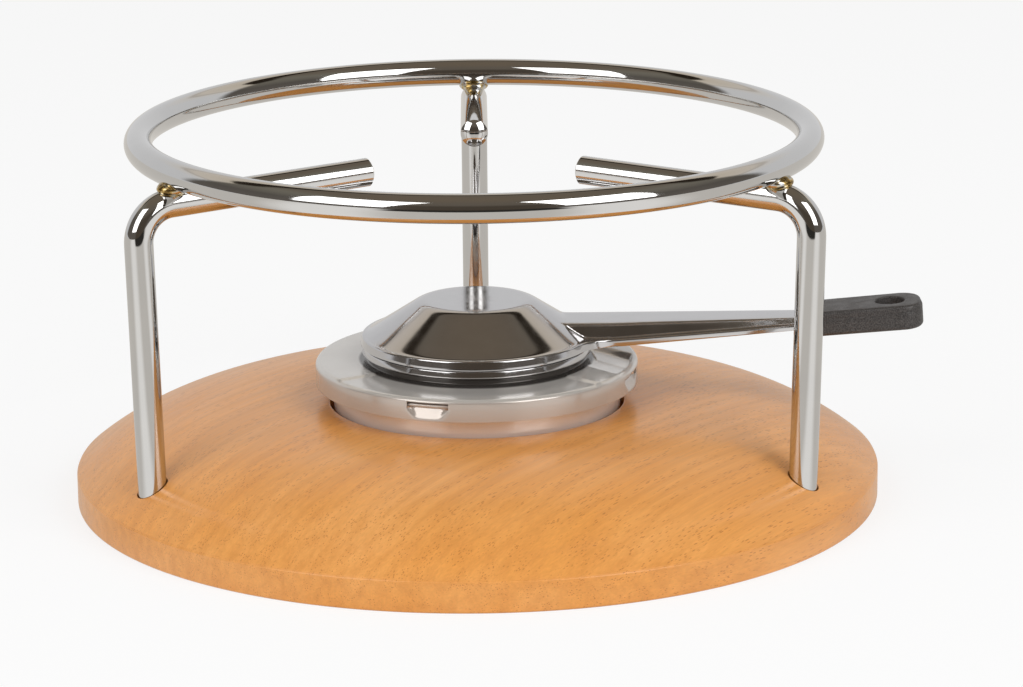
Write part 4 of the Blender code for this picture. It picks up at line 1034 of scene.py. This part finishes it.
for i in range(1, RAY_COUNT):
    angle = mix(SWEEP_ANGLE, math.tau - SWEEP_ANGLE, i / RAY_COUNT)
    way = (math.cos(angle), math.sin(angle))
    columns.append([shape.verts.new((r * way[0], r * way[1], cap_height(r))) for r in radii])
for i, here in enumerate(columns):
    there = columns[(i + 1) % len(columns)]
    shape.faces.new((centre, here[0], there[0]))
    for j in range(min(len(here), len(there)) - 1):
        shape.faces.new((here[j], here[j + 1], there[j + 1], there[j]))

# The edge is rounded and turned down all round the outline, flared a little round the cap.
count = len(lines)
rim = [column[-1] for column in columns[count:]]
right_edge = columns[0][len(radii) - 1:]
left_edge = columns[count - 1][len(radii) - 1:]
end_edge = [column[-1] for column in columns[1:count - 1]]
outline = rim + right_edge + end_edge + left_edge[::-1]
edge_rows = []
for k, vert in enumerate(outline):
    along_edge = (outline[(k + 1) % len(outline)].co - outline[k - 1].co).normalized()
    out = Vector((along_edge.y, -along_edge.x, 0.0)).normalized()
    x, y, z = vert.co
    root = straight(x, SWEEP_START, SWEEP_X)
    lip = mix(mix(BRIM_TOP - CAP_BOTTOM, LIP_ROOT, root), LIP_END, along_blade(x))
    row = [vert]
    for degrees in (22.5, 45.0, 67.5, 90.0):
        angle = math.radians(degrees)
        spot = vert.co + out * EDGE_ROUND * math.sin(angle)
        row.append(shape.verts.new((spot.x, spot.y, z - EDGE_ROUND * (1 - math.cos(angle)))))
    low = brim_level(x) - lip
    flare = mix(LIP_FLARE, LIP_FLARE_BLADE, root)
    for drop in (0.33, 0.67, 1.0):
        foot = spot + out * flare * drop
        row.append(shape.verts.new((foot.x, foot.y, mix(z - EDGE_ROUND, low, drop))))
    edge_rows.append(row)
for k, here in enumerate(edge_rows):
    there = edge_rows[(k + 1) % len(edge_rows)]
    for j in range(len(here) - 1):
        shape.faces.new((here[j], here[j + 1], there[j + 1], there[j]))
bmesh.ops.recalc_face_normals(shape, faces=shape.faces)
cap = as_object("cap_and_blade", shape)
if cap.data.polygons[0].normal.z < 0:
    cap.data.flip_normals()
thicken(cap, SNUFFER_SHEET, False, 0.22 * MM, 3, 60.0)
finish_mesh(cap, mirror_steel, 50.0)
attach(cap, "snuffer")
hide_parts("snuffer_cap")

# The blade runs on as a flat tang inside the grip.
TANG_WIDTH = 10.0 * MM
TANG_LENGTH = 20.0 * MM
tang_top = brim_level(BLADE_END) + RIDGE_HEIGHT_END - EDGE_ROUND
middle = BLADE_END - SNUFFER_SHEET + (TANG_LENGTH + SNUFFER_SHEET) / 2
shape = bmesh.new()
bmesh.ops.create_cube(shape, size=1.0)
bmesh.ops.scale(shape, vec=(TANG_LENGTH + SNUFFER_SHEET, TANG_WIDTH, SNUFFER_SHEET), verts=shape.verts)
bmesh.ops.translate(shape, vec=(middle, 0.0, tang_top - SNUFFER_SHEET / 2), verts=shape.verts)
tang = as_object("blade_tang", shape)
tang.data.materials.append(mirror_steel)
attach(tang, "snuffer")


# Handle grip. A bar of black heat-proof plastic moulded round the blade's tang, with a spark-eroded
# texture, a parting line below its top edge and a hole to hang it by.
GRIP_START = 106.0 * MM
GRIP_LENGTH = 38.0 * MM
GRIP_ROOT_HALF = 8.7 * MM
GRIP_TIP_HALF = 9.4 * MM
GRIP_THICKNESS = 8.2 * MM
GRIP_TILT = math.radians(4.2)
GRIP_TOP = 59.3 * MM
GRIP_TIP_RADIUS = 6.6 * MM
GRIP_ROOT_RADIUS = 1.8 * MM
GRIP_LOW_ROUND = 1.6 * MM
GRIP_HIGH_ROUND = 1.2 * MM
GRIP_ROUND_STEPS = 8
PART_LINE = -2.2 * MM
PART_LINE_DEPTH = 0.08 * MM
SMALLEST_RADIUS = 0.05 * MM
HOLE_RADIUS = 4.8 * MM
HOLE_FROM_TIP = 10.2 * MM
HOLE_ROUND = 0.5 * MM
HOLE_STEPS = 64

# Phenolic moulding: charcoal, matt, with a texture grain of about 0.4 mm, coarser than the real one
# so that it shows, and paler where the grain's tops are rubbed.
plastic, tree, shader, place = new_material("black_heatproof_plastic")
erosion = {"Vector": place, "Scale": 2600.0, "Detail": 3.0, "Roughness": 0.6}
grit = add_node(tree, "ShaderNodeTexNoise", erosion)
mottle = add_node(tree, "ShaderNodeTexNoise", {"Vector": place, "Scale": 260.0, "Detail": 2.0})
tone = add_node(tree, "ShaderNodeValToRGB", [grit], stops=[(0.35, "#252221"), (0.70, "#5C5856")])
fill_shader(tree, shader, tone, [mottle, 0.3, 0.7, 0.38, 0.50], (grit, 0.6, 0.08 * MM), {})


def grip_loop(inset):
    """Plan of the grip, drawn in by an inset: straight sides that widen to a round-cornered tip."""
    tip = (GRIP_LENGTH - GRIP_TIP_RADIUS, GRIP_TIP_HALF - GRIP_TIP_RADIUS)
    root = (GRIP_ROOT_RADIUS, GRIP_ROOT_HALF - GRIP_ROOT_RADIUS)
    root_radius = max(GRIP_ROOT_RADIUS - inset, SMALLEST_RADIUS)
    points = arc(tip[0], -tip[1], GRIP_TIP_RADIUS - inset, -90.0, 0.0, 24)
    points += arc(*tip, GRIP_TIP_RADIUS - inset, 0.0, 90.0, 24)
    points += arc(*root, root_radius, 90.0, 180.0, 8)
    return points + arc(root[0], -root[1], root_radius, 180.0, 270.0, 8)


quarter = [math.radians(90.0 * i / GRIP_ROUND_STEPS) for i in range(GRIP_ROUND_STEPS + 1)]
levels = [(GRIP_HIGH_ROUND * (1 - math.sin(a)), -GRIP_HIGH_ROUND * (1 - math.cos(a))) for a in quarter]
levels += [(0.0, PART_LINE + 0.16 * MM), (PART_LINE_DEPTH, PART_LINE + 0.05 * MM)]
levels += [(PART_LINE_DEPTH, PART_LINE - 0.05 * MM), (0.02 * MM, PART_LINE - 0.16 * MM)]
levels.append((0.0, -GRIP_THICKNESS / 2))
for a in quarter:
    levels.append((GRIP_LOW_ROUND * (1 - math.cos(a)), GRIP_LOW_ROUND * (1 - math.sin(a)) - GRIP_THICKNESS))
shape = bmesh.new()
loops = [[shape.verts.new((x, y, z)) for x, y in grip_loop(inset)] for inset, z in levels]
for here, there in zip(loops, loops[1:]):
    for i in range(len(here)):
        j = (i + 1) % len(here)
        shape.faces.new((here[i], here[j], there[j], there[i]))
shape.faces.new(loops[0])
shape.faces.new(loops[-1])
bmesh.ops.recalc_face_normals(shape, faces=shape.faces)
grip = as_object("moulded_grip", shape)
reach = HOLE_RADIUS + HOLE_ROUND
profile = [(0.0, MM), (reach, MM)]
profile += arc(reach, -HOLE_ROUND, HOLE_ROUND, 90.0, 180.0, 6)
profile += arc(reach, -GRIP_THICKNESS + HOLE_ROUND, HOLE_ROUND, 180.0, 270.0, 6)
profile += [(reach, -GRIP_THICKNESS - MM), (0.0, -GRIP_THICKNESS - MM)]
drill = turned("drill", profile, HOLE_STEPS)
drill.data.transform(Matrix.Translation((GRIP_LENGTH - HOLE_FROM_TIP, 0.0, 0.0)))
cut(grip, drill)
seat_place = Matrix.Translation((GRIP_START, 0.0, GRIP_TOP))
grip.data.transform(seat_place @ Matrix.Rotation(-GRIP_TILT, 4, "Y"))
finish_mesh(grip, plastic, 30.0)
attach(grip, "snuffer")
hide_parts("handle_grip")


bpy.context.view_layer.update()
